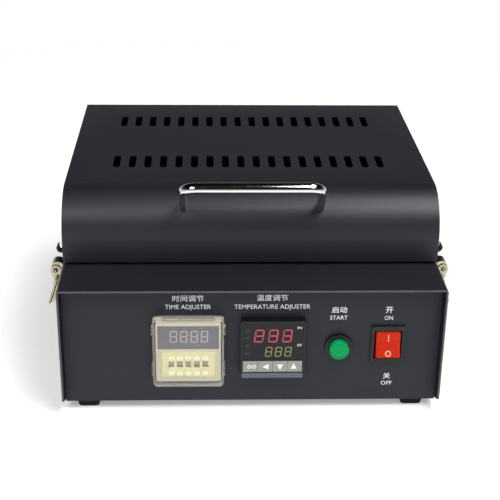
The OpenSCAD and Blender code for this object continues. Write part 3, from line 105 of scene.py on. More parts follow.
def linear(hexColour):
    # each sRGB channel: the straight part near black, the 2.4 power above it
    channels = np.array([int(hexColour[i : i + 2], 16) for i in (1, 3, 5)]) / 255
    curved = ((channels + 0.055) / 1.055) ** 2.4
    return (*np.where(channels <= 0.04045, channels / 12.92, curved).tolist(), 1.0)


def addNode(tree, kind, settings=None, inputs=None):
    # adds a node, sets its properties, and links its sockets or fills them in
    node = tree.nodes.new(kind)
    for key, value in (settings or {}).items():
        setattr(node, key, value)
    for key, value in (inputs or {}).items():
        if isinstance(value, bpy.types.Node):
            value = value.outputs[0]
        if isinstance(value, bpy.types.NodeSocket):
            tree.links.new(value, node.inputs[key])
        else:
            node.inputs[key].default_value = value
    return node


def makeFinish(
    name,
    colour,
    roughness,
    grain=0.5,  # the fine texture's size and depth in mm
    depth=0.01,
    stretch=(1, 1, 1),  # the texture's scale along X, Y and Z; a small number draws it out
    tone=0.06,  # how much the colour drifts, over toneSize mm
    toneSize=30.0,
    gloss=0.05,  # how much the roughness drifts
    clear=False,  # lets the lamps shine through
    **sockets,  # set on the shader itself
):
    material = bpy.data.materials.new(name)
    material.use_nodes = True
    tree = material.node_tree
    tree.nodes.clear()
    place = addNode(tree, "ShaderNodeTexCoord").outputs["Object"]
    drawn = addNode(tree, "ShaderNodeMapping", None, {"Vector": place, "Scale": stretch})
    fineInputs = {"Vector": drawn, "Scale": 1 / (grain * mm), "Detail": 3.0, "Roughness": 0.6}
    fine = addNode(tree, "ShaderNodeTexNoise", None, fineInputs)
    broadInputs = {"Vector": drawn, "Scale": 1 / (toneSize * mm), "Detail": 2.0}
    broad = addNode(tree, "ShaderNodeTexNoise", None, broadInputs)
    base = np.array(linear(colour)[:3])
    dark, light = [(*np.clip(base * (1 + side * tone), 0, 1).tolist(), 1.0) for side in (-1, 1)]
    mixed = addNode(tree, "ShaderNodeMix", {"data_type": "RGBA"}, {0: broad.outputs[0], 6: dark, 7: light})
    smooth, matte = max(roughness - gloss, 0.02), min(roughness + gloss, 1.0)
    spread = {0: fine.outputs[0], 1: 0.3, 2: 0.7, 3: smooth, 4: matte}
    rough = addNode(tree, "ShaderNodeMapRange", None, spread)
    relief = {"Height": fine.outputs[0], "Strength": 1.0, "Distance": depth * mm}
    bump = addNode(tree, "ShaderNodeBump", None, relief)
    inputs = {"Base Color": mixed.outputs[2], "Roughness": rough, "Normal": bump}
    inputs.update({key.replace("_", " "): value for key, value in sockets.items()})
    surface = addNode(tree, "ShaderNodeBsdfPrincipled", None, inputs)
    if clear:
        path = addNode(tree, "ShaderNodeLightPath")
        through = addNode(tree, "ShaderNodeBsdfTransparent", None, {"Color": (0.93, 0.93, 0.91, 1)})
        parts = {0: path.outputs["Is Shadow Ray"], 1: surface, 2: through}
        surface = addNode(tree, "ShaderNodeMixShader", None, parts)
    addNode(tree, "ShaderNodeOutputMaterial", None, {"Surface": surface})
    finishes[name] = material


finishes = {}
# polyester powder coat, sprayed and baked: satin black with a faint orange peel, a touch blue
makeFinish("powderCoat", "#191a21", 0.44, 0.7, 0.012, tone=0.1, toneSize=60, Specular_IOR_Level=0.46)
# the same coat over the control panel, in a dark grey and flatter
makeFinish("panelCoat", "#22242b", 0.5, 0.6, 0.012, tone=0.05, toneSize=50, Specular_IOR_Level=0.28)
# the coat on the cover's front cut edge, painted paler as the highlight along that edge, and a little shinier
makeFinish("rubbedEdge", "#404348", 0.34, 0.9, 0.01, tone=0.3, toneSize=12)
# chrome plate, buffed: a mirror with a trace of haze
makeFinish("polishedChrome", "#dcdee0", 0.09, 8, 0.0004, tone=0.02, gloss=0.01, Metallic=1.0)
# bright nickel on stamped steel: slightly yellow, uneven where it is thin
makeFinish("nickelPlate", "#aaa48c", 0.26, 0.8, 0.008, tone=0.3, toneSize=4, Metallic=1.0)
# the same plate, painted darker; on the rolled hood this is painted shade and a painted reflection of the
# dark above it
makeFinish("darkNickel", "#716e63", 0.3, 0.8, 0.008, tone=0.25, toneSize=3, Metallic=1.0)
# black electro-coat, dipped: thin and slightly glossy
makeFinish("blackSteel", "#17181a", 0.42, 0.4, 0.008, Specular_IOR_Level=0.3)
# zinc plate, tumbled: dull bright grey
makeFinish("zincPlate", "#a9adb1", 0.38, 0.5, 0.006, tone=0.1, toneSize=4, Metallic=1.0)
# stainless sheet, mill finish, with drawing lines along its length
makeFinish("stainlessSheet", "#b9bbbc", 0.3, 1.2, 0.004, (0.04, 1, 1), tone=0.05, Metallic=1.0)
# aluminium plate, face milled: the cutter's passes run front to back
makeFinish("milledAluminium", "#a4a6a8", 0.34, 1.0, 0.006, (1, 0.03, 1), tone=0.06, Metallic=1.0)
# ceramic fibre board, pressed: chalky and pitted
makeFinish("fibreBoard", "#d8d3c6", 0.95, 1.5, 0.25, tone=0.08, toneSize=8)
# mineral wool board faced with black glass cloth: swallows light behind the vents
makeFinish("darkBoard", "#121315", 0.95, 1.2, 0.2, tone=0.15, toneSize=8, Specular_IOR_Level=0.1)
# steatite, fired and unglazed: off-white and dry
makeFinish("steatite", "#e3dfd2", 0.7, 0.3, 0.02)
# ABS, moulded in a spark-eroded tool: black with a fine even grain
makeFinish("blackPlastic", "#131416", 0.36, 0.35, 0.008, Specular_IOR_Level=0.32)
# smoked acrylic, polished: near black, with soft reflections
makeFinish("smokedWindow", "#141518", 0.14, 5, 0.001, gloss=0.02, Specular_IOR_Level=0.25)
# tinted acrylic over an unlit display: grey with a cold violet cast
makeFinish("tintedWindow", "#565662", 0.2, 5, 0.001, tone=0.08, gloss=0.02, Specular_IOR_Level=0.3)
# polycarbonate, moulded: grey-beige
makeFinish("beigePlastic", "#b7ae9b", 0.45, 0.4, 0.01, tone=0.03)
# ABS, moulded: pale yellow-cream
makeFinish("creamPlastic", "#cbc59a", 0.42, 0.4, 0.008, tone=0.03)
# ABS, moulded: the keys, painted lighter than the block they stand in as the highlight on their raised tops
makeFinish("paleKeys", "#f0ead0", 0.38, 0.4, 0.008, tone=0.03)
# acetal, moulded: the printed wheels, matt and warm
makeFinish("wheelWhite", "#cfc7b4", 0.5, 0.4, 0.006, tone=0.03)
# printed polyester overlay: smooth grey with a matt lacquer
makeFinish("greyOverlay", "#94968e", 0.5, 0.3, 0.006, tone=0.04)
# the same overlay in a dark blue-grey
makeFinish("blueGreyOverlay", "#535b63", 0.45, 0.3, 0.006, tone=0.04)
# neoprene, moulded: dull and faintly dusty
makeFinish("blackRubber", "#101010", 0.8, 0.5, 0.03, Specular_IOR_Level=0.3)
# dyed polycarbonate, polished mould: an even green with small soft lights
makeFinish("greenCap", "#009855", 0.3, 2, 0.003, tone=0.05, Specular_IOR_Level=0.12)
# dyed polycarbonate, polished mould: orange-red, slightly uneven as light runs in it
makeFinish("redRocker", "#c0280e", 0.28, 2, 0.003, tone=0.08, toneSize=6, Specular_IOR_Level=0.12)
# clear polycarbonate, moulded and polished: seen by its edges and reflections
clearSettings = {"clear": True, "IOR": 1.45}
makeFinish(
    "clearPlastic", "#f6f6f2", 0.05, 6, 0.004, tone=0.01, gloss=0.02, Transmission_Weight=1.0, **clearSettings
)
# the same seen along its walls, painted pale and half clear for the light that runs in the plastic there
makeFinish("milkyWall", "#dcdad2", 0.18, 1, 0.004, tone=0.03, Transmission_Weight=0.8, **clearSettings)
# brass, stamped: the inlet's blades, a warm dull gold
makeFinish("brass", "#c8a75a", 0.3, 0.4, 0.004, Metallic=1.0)
# glass braid over the wires: brown-red, with threads about 1 mm apart
makeFinish("glassSleeve", "#5a2420", 0.8, 1.0, 0.1, tone=0.2, toneSize=2)
# glass-filled nylon, moulded: the relay's ivory case
makeFinish("relayPlastic", "#e0dac6", 0.35, 0.5, 0.006, tone=0.03)
# the terminal block's grey-white nylon
makeFinish("terminalPlastic", "#d0d0c8", 0.5, 0.5, 0.008, tone=0.03)
# screen-printed white ink: matt, with thin spots
makeFinish("whiteInk", "#f2f4f6", 0.6, 0.3, 0.004, tone=0.06, toneSize=2)
# pad-printed inks, all matt: pink on the rocker, dark and red on the wheels, grey beside the lamps
makeFinish("pinkInk", "#f4a890", 0.5, 0.3, 0.004)
makeFinish("darkInk", "#3a3a3a", 0.6, 0.3, 0.004)
makeFinish("redInk", "#c8503c", 0.6, 0.3, 0.004)
makeFinish("greyInk", "#4b4d52", 0.6, 0.3, 0.004)
# display segments, moulded light pipes: name, colour of the plastic, colour and strength of its light
for name, colour, light, strength in (
    ("redSegment", "#5a1820", "#e2405a", 0.75),  # lit: a soft pinkish red
    ("dimRedSegment", "#4a2428", "#8a444a", 0.8),  # the bars that are off, given a faint glow of painted light so they still show
    ("greenSegment", "#4a4a28", "#a2a05c", 0.7),  # lit low: yellow-green
):
    makeFinish(name, colour, 0.3, 1, 0.001, Emission_Color=linear(light), Emission_Strength=strength)
# segments with no light in them: pale against the tinted window
makeFinish("paleSegment", "#b9a6a0", 0.3, 1, 0.001)
print("finishes:", len(finishes))


def addPiece(name, shape, finish, body, replaces=(), sharp=40.0, wall=None):
    # shape is points in metres and faces; edges that turn more than sharp degrees stay crisp;
    # wall is a second finish, for the faces that don't look to the front or the back
    points, faces = shape
    mesh = bpy.data.meshes.new(name)
    mesh.from_pydata(np.asarray(points, float).tolist(), [], faces)
    build = bmesh.new()
    build.from_mesh(mesh)
    bmesh.ops.remove_doubles(build, verts=build.verts, dist=1e-7)
    bmesh.ops.recalc_face_normals(build, faces=build.faces)
    for edge in build.edges:
        edge.smooth = len(edge.link_faces) == 2 and edge.calc_face_angle() < np.radians(sharp)
    for face in build.faces:
        face.smooth = True
    build.to_mesh(mesh)
    build.free()
    mesh.materials.append(finishes[finish])
    if wall:
        mesh.materials.append(finishes[wall])
        for face in mesh.polygons:
            face.material_index = int(abs(face.normal.y) < 0.8)
    piece = bpy.data.objects.new(name, mesh)
    bpy.context.scene.collection.objects.link(piece)
    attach(piece, body)
    if replaces:
        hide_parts(*replaces)


def ringFaces(rings, count, closed=True):
    # quads between neighbouring rings of count points each
    ring = np.arange(count if closed else count - 1)
    after = (ring + 1) % count
    step = np.arange(rings - 1)[:, None] * count
    corners = [step + ring, step + after, step + count + after, step + count + ring]
    return np.stack(corners, -1).reshape(-1, 4).tolist()


def loft(rings, caps=True):
    # a skin over rings of equal count: one parameter runs from ring to ring, the other round each
    rings = np.asarray(rings, float)
    total, count, _ = rings.shape
    faces = ringFaces(total, count)
    if caps:
        faces += [list(range(count))[::-1], list(range((total - 1) * count, total * count))]
    return rings.reshape(-1, 3), faces


def joined(shapes):
    points, faces, offset = [], [], 0
    for somePoints, someFaces in shapes:
        points.append(np.asarray(somePoints, float).reshape(-1, 3))
        faces += [[vertex + offset for vertex in face] for face in someFaces]
        offset += len(points[-1])
    return np.concatenate(points), faces


def crossDirections(axis):
    # two directions square to an axis and to each other
    axis = np.asarray(axis, float) / np.linalg.norm(axis)
    side = np.cross(axis, [0, 0, 1.0]) if abs(axis[2]) < 0.9 else np.array([1.0, 0, 0])
    side /= np.linalg.norm(side)
    return axis, side, np.cross(axis, side)


def lathe(profile, centre, axis, count=48):
    # a profile of (radius, distance along the axis) turned once about the axis
    axis, side, other = crossDirections(axis)
    radius, along = np.asarray(profile, float).T[:, :, None, None]
    turn = np.linspace(0, 2 * np.pi, count, endpoint=False)[:, None]
    outwards = np.cos(turn) * side + np.sin(turn) * other
    return loft((radius * outwards + along * axis + np.asarray(centre)) * mm)


def roundedRectangle(halfWidth, halfHeight, radius, steps=8):
    # four quarter circles, one at each corner
    turn = np.linspace(0, np.pi / 2, steps) + np.arange(4)[:, None] * np.pi / 2
    x = np.array([1, -1, -1, 1])[:, None] * (halfWidth - radius) + radius * np.cos(turn)
    y = np.array([1, 1, -1, -1])[:, None] * (halfHeight - radius) + radius * np.sin(turn)
    return np.stack([x, y], -1).reshape(-1, 2)


def roundedBlock(low, high, radius, axis=0, corner=0.0):
    # rounded rectangles along an axis, drawn in at both ends by a quarter circle of that radius
    low, high = np.asarray(low, float), np.asarray(high, float)
    middle, half = (low + high) / 2, (high - low) / 2
    a, b = [i for i in range(3) if i != axis]
    turn = np.linspace(np.pi / 2, 0, 4)
    inset = radius * (1 - np.cos(turn))
    depth = radius * (1 - np.sin(turn))
    rings = []
    for place, shrink in zip([*(low[axis] + depth), *(high[axis] - depth[::-1])], [*inset, *inset[::-1]]):
        flat = roundedRectangle(half[a] - shrink, half[b] - shrink, max((corner or radius) - shrink, 0.01))
        ring = np.empty((len(flat), 3))
        ring[:, axis], ring[:, a], ring[:, b] = place, flat[:, 0] + middle[a], flat[:, 1] + middle[b]
        rings.append(ring * mm)
    return loft(rings)


def filletedPath(corners, radius, steps=8):
    # a polyline whose inner corners are turned on arcs: each arc is blended from its two spokes by sines
    corners = np.asarray(corners, float)
    path = [corners[:1]]
    for before, corner, after in zip(corners[:-2], corners[1:-1], corners[2:]):
        a = (before - corner) / np.linalg.norm(before - corner)
        b = (after - corner) / np.linalg.norm(after - corner)
        half = np.arccos(np.clip(a @ b, -1, 1)) / 2
        middle = corner + (a + b) / np.linalg.norm(a + b) * radius / np.sin(half)
        start, end = [corner + spoke * radius / np.tan(half) - middle for spoke in (a, b)]
        sweep = np.arccos(np.clip(start @ end / radius**2, -1, 1))
        t = np.linspace(0, 1, steps)[:, None]
        path.append(middle + (np.sin((1 - t) * sweep) * start + np.sin(t * sweep) * end) / np.sin(sweep))
    return np.concatenate([*path, corners[-1:]])


def sweep(path, origin, u, v, section):
    # a section carried along a path in the plane of u and v, always square to the path
    u, v = np.asarray(u, float), np.asarray(v, float)
    along = np.gradient(path, axis=0)
    along /= np.linalg.norm(along, axis=1)[:, None]
    spine = np.asarray(origin) + path[:, :1] * u + path[:, 1:] * v
    sideways = -along[:, 1:] * u + along[:, :1] * v
    rings = spine[:, None] + section[None, :, :1] * sideways[:, None] + section[None, :, 1:] * np.cross(u, v)
    return loft(rings * mm)


def superEllipse(a, b, power=2.0, count=32):
    # |x / a| and |y / b| to the power add up to 1; a power of 2 is a plain ellipse
    turn = np.linspace(0, 2 * np.pi, count, endpoint=False)
    x, y = np.cos(turn), np.sin(turn)
    x, y = [np.sign(part) * np.abs(part) ** (2 / power) for part in (x, y)]
    return np.stack([a * x, b * y], -1)


softened = {
    # node: (finish, edge radius in mm)
    "base_cover": ("powderCoat", 0.4),
    "chassis_pan": ("powderCoat", 0.3),
    "front_panel": ("panelCoat", 0.2),
    "rear_panel": ("powderCoat", 0.2),
    "lid_shell": ("powderCoat", 0.35),
    "lid_bumpers": ("blackRubber", 0.3),
    "chamber_pan": ("stainlessSheet", 0.3),
    "heater_plate": ("milledAluminium", 0.5),
    "plate_standoffs": ("steatite", 0.3),
    "lid_liner": ("stainlessSheet", 0.25),
    "insulation_board": ("fibreBoard", 0.8),
    "hinge_base_leaves": ("zincPlate", 0.15),
    "hinge_lid_leaves": ("zincPlate", 0.15),
    "hinge_pins": ("zincPlate", 0.2),
    "latch_brackets": ("nickelPlate", 0.12),
    "latch_lever_left": ("nickelPlate", 0.12),
    "latch_lever_right": ("nickelPlate", 0.12),
    "latch_keepers": ("blackSteel", 0.2),
    "controller_case": ("blackPlastic", 0.4),
    "controller_bezel": ("blackPlastic", 0.3),
    "controller_window": ("smokedWindow", 0.1),
    "timer_case": ("beigePlastic", 0.4),
    "timer_bezel": ("beigePlastic", 0.3),
    "timer_window": ("tintedWindow", 0.15),
    "timer_switch_block": ("creamPlastic", 0.2),
    "start_button_nut": ("blackPlastic", 0.2),
    "start_button_barrel": ("blackPlastic", 0.25),
    "switch_frame": ("blackPlastic", 0.3),
    "mains_inlet": ("blackPlastic", 0.25),
    "solid_state_relay": ("relayPlastic", 0.4),
    "terminal_block": ("terminalPlastic", 0.3),
    **{"controller_key_" + key: ("greyOverlay", 0.1) for key in ("set", "left", "down", "up")},
    **{f"timer_{row}_key_{i}": ("paleKeys", 0.3) for row in ("plus", "minus") for i in range(1, 6)},
}


def frontEdge(face, low):
    # faces of the cover that look to the front, at its very front: the cut edge, painted as a highlight line
    return face.normal.y < -0.9 and face.calc_center_median().y < (low[1] + 0.3) * mm


hoodZ = 96.0  # the brackets are rolled over above this height


def rolledHood(face, low):
    # faces of the bracket that look up and out, over the pivot, where the nickel is painted darker as shade
    over = face.calc_center_median().z > hoodZ * mm
    return face.normal.z > 0.15 and over and abs(face.normal.y) < 0.5


secondFinish = {"base_cover": ("rubbedEdge", frontEdge), "latch_brackets": ("darkNickel", rolledHood)}


def soften(node, finish, radius):
    # a copy with its doubles merged and its flat triangles joined, then a bevel of two steps
    mesh = frame["nodes"][node].data.copy()
    low = cadBox(node)[0]
    mesh.materials.clear()
    mesh.materials.append(finishes[finish])
    build = bmesh.new()
    build.from_mesh(mesh)
    bmesh.ops.remove_doubles(build, verts=build.verts, dist=2e-6)
    bmesh.ops.dissolve_limit(build, angle_limit=np.radians(0.3), verts=build.verts, edges=build.edges)
    build.normal_update()
    extra, chosen = secondFinish.get(node, (None, None))
    for face in build.faces:
        face.smooth = True
        face.material_index = int(bool(extra) and chosen(face, low))
    for edge in build.edges:
        edge.smooth = True
    build.to_mesh(mesh)
    build.free()
    if extra:
        mesh.materials.append(finishes[extra])
    if "custom_normal" in mesh.attributes:
        mesh.attributes.remove(mesh.attributes["custom_normal"])
    piece = bpy.data.objects.new(camel(node), mesh)
    bpy.context.scene.collection.objects.link(piece)
    bevel = piece.modifiers.new("edges", "BEVEL")
    bevel.width, bevel.segments = radius * mm, 2
    bevel.limit_method, bevel.angle_limit = "ANGLE", np.radians(35)
    bevel.harden_normals = True
    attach(piece, bodyOf[node])
    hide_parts(node)


for node, (finish, radius) in softened.items():
    soften(node, finish, radius)

asBuilt = {
    "cartridge_heaters": "stainlessSheet",
    "thermocouple": "stainlessSheet",
    "wiring_loom": "glassSleeve",
    "lid_insulation_board": "darkBoard",
}
for node, finish in asBuilt.items():
    frame["nodes"][node].data.materials.clear()
    frame["nodes"][node].data.materials.append(finishes[finish])
print("softened solids:", len(softened))


handle = {
    "bendY": -63.7,  # the middle of the lid's big bend
    "bendZ": 124.0,
    "bendRadius": 34.0,
    "lean": 45.0,  # degrees above the horizontal
    "span": 103.0,
    "height": 34.5,
    "corner": 10.0,
    "thickness": 6.5,
    "width": 8.0,
    "squareness": 2.2,
}


def makeHandle():
    half, top = handle["span"] / 2, handle["bendRadius"] + handle["height"]
    foot = handle["bendRadius"] - 0.8
    path = filletedPath([(-half, foot), (-half, top), (half, top), (half, foot)], handle["corner"], 16)
    lean = np.radians(handle["lean"])
    section = superEllipse(handle["thickness"] / 2, handle["width"] / 2, handle["squareness"])
    middle, outwards = (0, handle["bendY"], handle["bendZ"]), (0, -np.cos(lean), np.sin(lean))
    bar = sweep(path, middle, (1, 0, 0), outwards, section)
    addPiece("liftHandle", bar, "polishedChrome", "lid", ("lid_handle",))


makeHandle()


bail = {"wire": 1.0, "corner": 1.7, "stub": 5.3}  # wire radius, corner radius, inner end of the stubs


def makeBail(side, name):
    # the hanging loop's length and lean come from its box and its pivot
    low, high = cadBox(name)
    pivot = pivotOf[name]
    r = bail["wire"]
    reach = (high[0] if side > 0 else -low[0]) - side * pivot[0] - r
    drop = pivot[2] - low[2] - r
    down = np.array([side * reach, 0, -drop]) / np.hypot(reach, drop)
    h, s, length = (high[1] - low[1]) / 2 - r, bail["stub"], np.hypot(reach, drop)
    path = filletedPath([(-s, 0), (-h, 0), (-h, length), (h, length), (h, 0), (s, 0)], bail["corner"])
    loop = sweep(path, pivot, (0, 1, 0), down, superEllipse(r, r, count=16))
    addPiece(camel(name), loop, "nickelPlate", name, (name,))


makeBail(-1, "latch_bail_left")
makeBail(1, "latch_bail_right")


foot = {"width": 18.4, "baseWidth": 15.8, "corner": 2.8, "recess": 4.5, "recessDepth": 5.0, "hole": 2.1}


def makeFeet():
    # rings of equal count, squares with round corners outside and circles inside, from the screw's recess
    # round to the top
    low, high = cadBox("rubber_feet")
    top, base, corner, height = foot["width"] / 2, foot["baseWidth"] / 2, foot["corner"], high[2]
    hole, recess, deep = foot["hole"], foot["recess"], foot["recessDepth"]
    rows = [
        # half width, corner radius and height; a circle where the first two are equal
        (hole, hole, deep), (recess, recess, deep), (recess, recess, 0.5), (recess + 0.4, recess + 0.4, 0),
        (base - 0.7, corner - 0.7, 0), (base - 0.2, corner - 0.2, 0.2), (base, corner, 0.7),
        (top, corner, height - 0.5), (top - 0.2, corner - 0.2, height), (hole, hole, height),
    ]
    flats = [roundedRectangle(half, half, radius) for half, radius, _ in rows]
    rings = np.array([np.column_stack([flat, np.full(len(flat), z)]) for flat, (_, _, z) in zip(flats, rows)])
    places = [(x, y, 0) for x in (low[0] + top, high[0] - top) for y in (low[1] + top, high[1] - top)]
    shapes = [loft((rings + np.array(place)) * mm) for place in places]
    addPiece("rubberFeet", joined(shapes), "blackRubber", "base", ("rubber_feet",), sharp=60)
    return places


footPlaces = makeFeet()
print("handle, bails and feet")


def screwHead(place, axis, radius, height, cross=True):
    # the height falls with the distance from the axis to the power 2.5; a cross is pressed into the middle
    axis, side, other = crossDirections(axis)
    r = np.concatenate([np.linspace(0.04, 0.62, 9), [0.72, 0.82, 0.92, 0.98, 1.0, 1.0]])[:, None]
    turn = np.linspace(0, 2 * np.pi, 48, endpoint=False)[None, :]
    x, y = r * np.cos(turn), r * np.sin(turn)
    rise = height * (1 - 0.45 * r**2.5) + 0 * turn
    rise[-3:] = height * np.array([0.42, 0.3, 0.0])[:, None]
    if cross:
        arm = (np.minimum(np.abs(x), np.abs(y)) < 0.13) & (r < 0.6)
        rise = np.where(arm, rise - 0.55 * height * (1 - r / 0.7), rise)
    place = np.asarray(place, float)
    rings = place + (x[..., None] * side + y[..., None] * other) * radius + rise[..., None] * axis
    stem = [rings[-1] * 0.45 + place * 0.55 - depth * axis for depth in (0.0, 2.0)]
    return loft(np.concatenate([rings, stem]) * mm)


screws = {
    "coverZ": 16.5,
    "coverYs": (-112.7, -4.2, 104.3),
    "sideX": 142.0,
    "hingeXs": (-111.0, -79.0, 79.0, 111.0),
    "hingeY": 135.5,
    "hingeZs": (92.0, 120.0),  # on the base and on the lid
    "inletXs": (72.0, 112.0),
    "inletY": 137.3,
    "inletZ": 34.0,
    "bracketZs": (76.0, 82.0),
    "keeperX": 142.25,
    "keeperDrops": (3.5, 9.5),  # below each keeper's top
    "pan": (2.85, 1.8),  # radius and height of a pan head
    "rivet": (2.2, 0.9),
    "foot": (3.8, 2.2),
    "handle": (3.8, 2.4),
}


def makeFasteners():
    latchY = pivotOf["latch_lever_right"][1]
    keeperTop = cadBox("latch_keepers")[1][2]
    lean, inner = np.radians(handle["lean"]), handle["bendRadius"] - 1.2
    pan, rivet, sideX, hingeY = screws["pan"], screws["rivet"], screws["sideX"], screws["hingeY"]
    baseZ, lidZ = screws["hingeZs"]
    recess = np.array([0, 0, foot["recessDepth"]])
    rows = [(place + recess, (0, 0, -1), *screws["foot"]) for place in footPlaces]
    rows += [((x, hingeY, baseZ), (0, 1, 0), *pan) for x in screws["hingeXs"]]
    rows += [((x, screws["inletY"], screws["inletZ"]), (0, 1, 0), *pan) for x in screws["inletXs"]]
    lidRows = [((x, hingeY, lidZ), (0, 1, 0), *pan) for x in screws["hingeXs"]]
    for s in (-1, 1):
        out = (s, 0, 0)
        rows += [((s * sideX, y, screws["coverZ"]), out, *pan) for y in screws["coverYs"]]
        rows += [((s * (sideX + 1), latchY, z), out, *rivet, False) for z in screws["bracketZs"]]
        drops = screws["keeperDrops"]
        lidRows += [((s * screws["keeperX"], latchY, keeperTop - down), out, *rivet, False) for down in drops]
        up, ahead = inner * np.sin(lean), inner * np.cos(lean)
        place = (s * handle["span"] / 2, handle["bendY"] - ahead, handle["bendZ"] + up)
        lidRows.append((place, (0, np.cos(lean), -np.sin(lean)), *screws["handle"]))
    for body, node, somePlaces in (("base", "base_fasteners", rows), ("lid", "lid_screws", lidRows)):
        heads = joined([screwHead(*row) for row in somePlaces])
        addPiece(body + "Fasteners", heads, "zincPlate", body, (node,), sharp=50)


makeFasteners()


latchPins = {"ring": (1.7, 0.5), "core": (1.1, 1.1), "eye": (1.25, 0.5)}  # radius and height of each head


def makeLatchPins():
    # the ends of the cross pins: on each bracket a bright core inside a dark ring that is painted shadow
    # round the pin's head; a small eye on each bail
    front = cadBox("latch_brackets")[0][1]
    rings, cores = [], []
    for side in ("left", "right"):
        x, _, z = pivotOf["latch_lever_" + side]
        rings.append(screwHead((x, front, z), (0, -1, 0), *latchPins["ring"], False))
        cores.append(screwHead((x, front, z), (0, -1, 0), *latchPins["core"], False))
        node = "latch_bail_" + side
        x, _, z = pivotOf[node]
        eye = screwHead((x, cadBox(node)[0][1] + 0.1, z), (0, -1, 0), *latchPins["eye"], False)
        addPiece(camel(node) + "Eye", eye, "darkNickel", node)
    # the dark rings are painted contact shadow round the pin heads
    addPiece("latchPinRings", joined(rings), "blackSteel", "base")
    addPiece("latchPinCores", joined(cores), "zincPlate", "base")


makeLatchPins()
print("fasteners")


def glyphs(words, middle, fit, thick=0.03):
    # letters as a mesh facing the front, stretched to a width and height in millimetres
    curve = bpy.data.curves.new("letters", "FONT")
    curve.body, curve.size, curve.extrude, curve.resolution_u = words, 5 * mm, thick * mm, 3
    curve.offset = 0 if words.isascii() else 0.035 * mm  # the other script is set in a heavier weight
    holder = bpy.data.objects.new("letters", curve)
    bpy.context.scene.collection.objects.link(holder)
    bpy.context.view_layer.update()
    mesh = bpy.data.meshes.new_from_object(holder.evaluated_get(bpy.context.evaluated_depsgraph_get()))
    flat = np.zeros(len(mesh.vertices) * 3)
    mesh.vertices.foreach_get("co", flat)
    flat = flat.reshape(-1, 3) / mm
    faces = [list(face.vertices) for face in mesh.polygons]
    bpy.data.objects.remove(holder)
    bpy.data.curves.remove(curve)
    bpy.data.meshes.remove(mesh)
    low, high = flat[:, :2].min(0), flat[:, :2].max(0)
    low[1] = 0.0 if words.isascii() else low[1]  # Latin letters stand on the baseline, with any tail below it
    flat[:, :2] = (flat[:, :2] - (low + high) / 2) * np.array(fit) / (high - low)
    return np.stack([flat[:, 0] + middle[0], middle[1] - flat[:, 2], flat[:, 1] + middle[2]], -1) * mm, faces


panelFront = cadBox("front_panel")[0][1]
panelWords = [
    # words, middle X and Z, width and height
    ("时间调节", -47.3, 94.1, 23.0, 5.2),
    ("TIME ADJUSTER", -47.4, 87.2, 33.6, 3.5),
    ("温度调节", 14.5, 94.5, 23.0, 5.2),
    ("TEMPERATURE ADJUSTER", 14.6, 87.2, 56.0, 3.5),
    ("启动", 64.2, 84.3, 11.4, 5.2),
    ("START", 64.0, 77.8, 13.0, 3.3),
    ("开", 101.3, 84.0, 5.4, 5.2),
    ("ON", 101.2, 77.4, 6.2, 3.3),
    ("关", 102.4, 28.0, 5.4, 5.2),
    ("OFF", 102.6, 21.8, 8.2, 3.3),
]
lettering = [glyphs(words, (x, panelFront, z), (width, height)) for words, x, z, width, height in panelWords]
addPiece("panelLettering", joined(lettering), "whiteInk", "base", sharp=20)
print("lettering")


segmentLayout = {
    # each bar of a digit: its middle across and up in half sizes, and whether it lies
    "a": (0, 1, True), "b": (1, 0.5, False), "c": (1, -0.5, False), "d": (0, -1, True),
    "e": (-1, -0.5, False), "f": (-1, 0.5, False), "g": (0, 0, True),
}
litBars = {"2": "abged", "3": "abgcd"}  # for the digits that are shown


def digitBars(bars, place, size, thick, slant=0.12):
    # hexagonal bars pointed at both ends; X is moved by slant times the height
    shapes = []
    for across, up, lies in [segmentLayout[bar] for bar in bars]:
        half, h = (size[0] if lies else size[1] / 2) / 2 - 0.12, thick / 2
        tips = half - h
        x, z = np.array([(-half, 0), (-tips, h), (tips, h), (half, 0), (tips, -h), (-tips, -h)]).T
        x, z = (x, z) if lies else (z, x)
        z = z + up * size[1] / 2
        x = place[0] + across * size[0] / 2 + x + slant * z
        ring = np.stack([x, np.full(6, place[1]), place[2] + z], -1)
        shapes.append(loft(np.stack([ring, ring + [0, 0.04, 0]]) * mm))
    return shapes


controllerFace = {
    "redPlaces": (5.0, 15.4, 25.8),
    "redZ": 66.3,
    "redSize": (6.0, 9.6),
    "redBar": 1.0,
    "number": "233",
    "greenPlaces": (12.2, 19.4, 26.6),
    "greenZ": 53.0,
    "greenSize": (4.2, 7.4),
    "greenBar": 0.6,
    # word, middle X and Z, width and height
    "marks": (("PV", 35.0, 72.8, 3.6, 2.1), ("SV", 35.0, 58.6, 3.6, 2.1)),
    "lampNames": (
        ("OUT", -3.7, 70.6, 4.0, 1.8), ("AT", -3.7, 64.4, 3.0, 1.8),
        ("AL1", -3.7, 58.2, 3.6, 1.8), ("AL2", -3.7, 51.8, 3.8, 1.8),
    ),
}
timerFace = {"places": (-58.2, -50.6, -43.0, -35.4), "z": 65.9, "size": (4.6, 8.8), "bar": 0.6, "slant": 0.03}
proud = 0.03  # how far print and segments stand ahead of what carries them


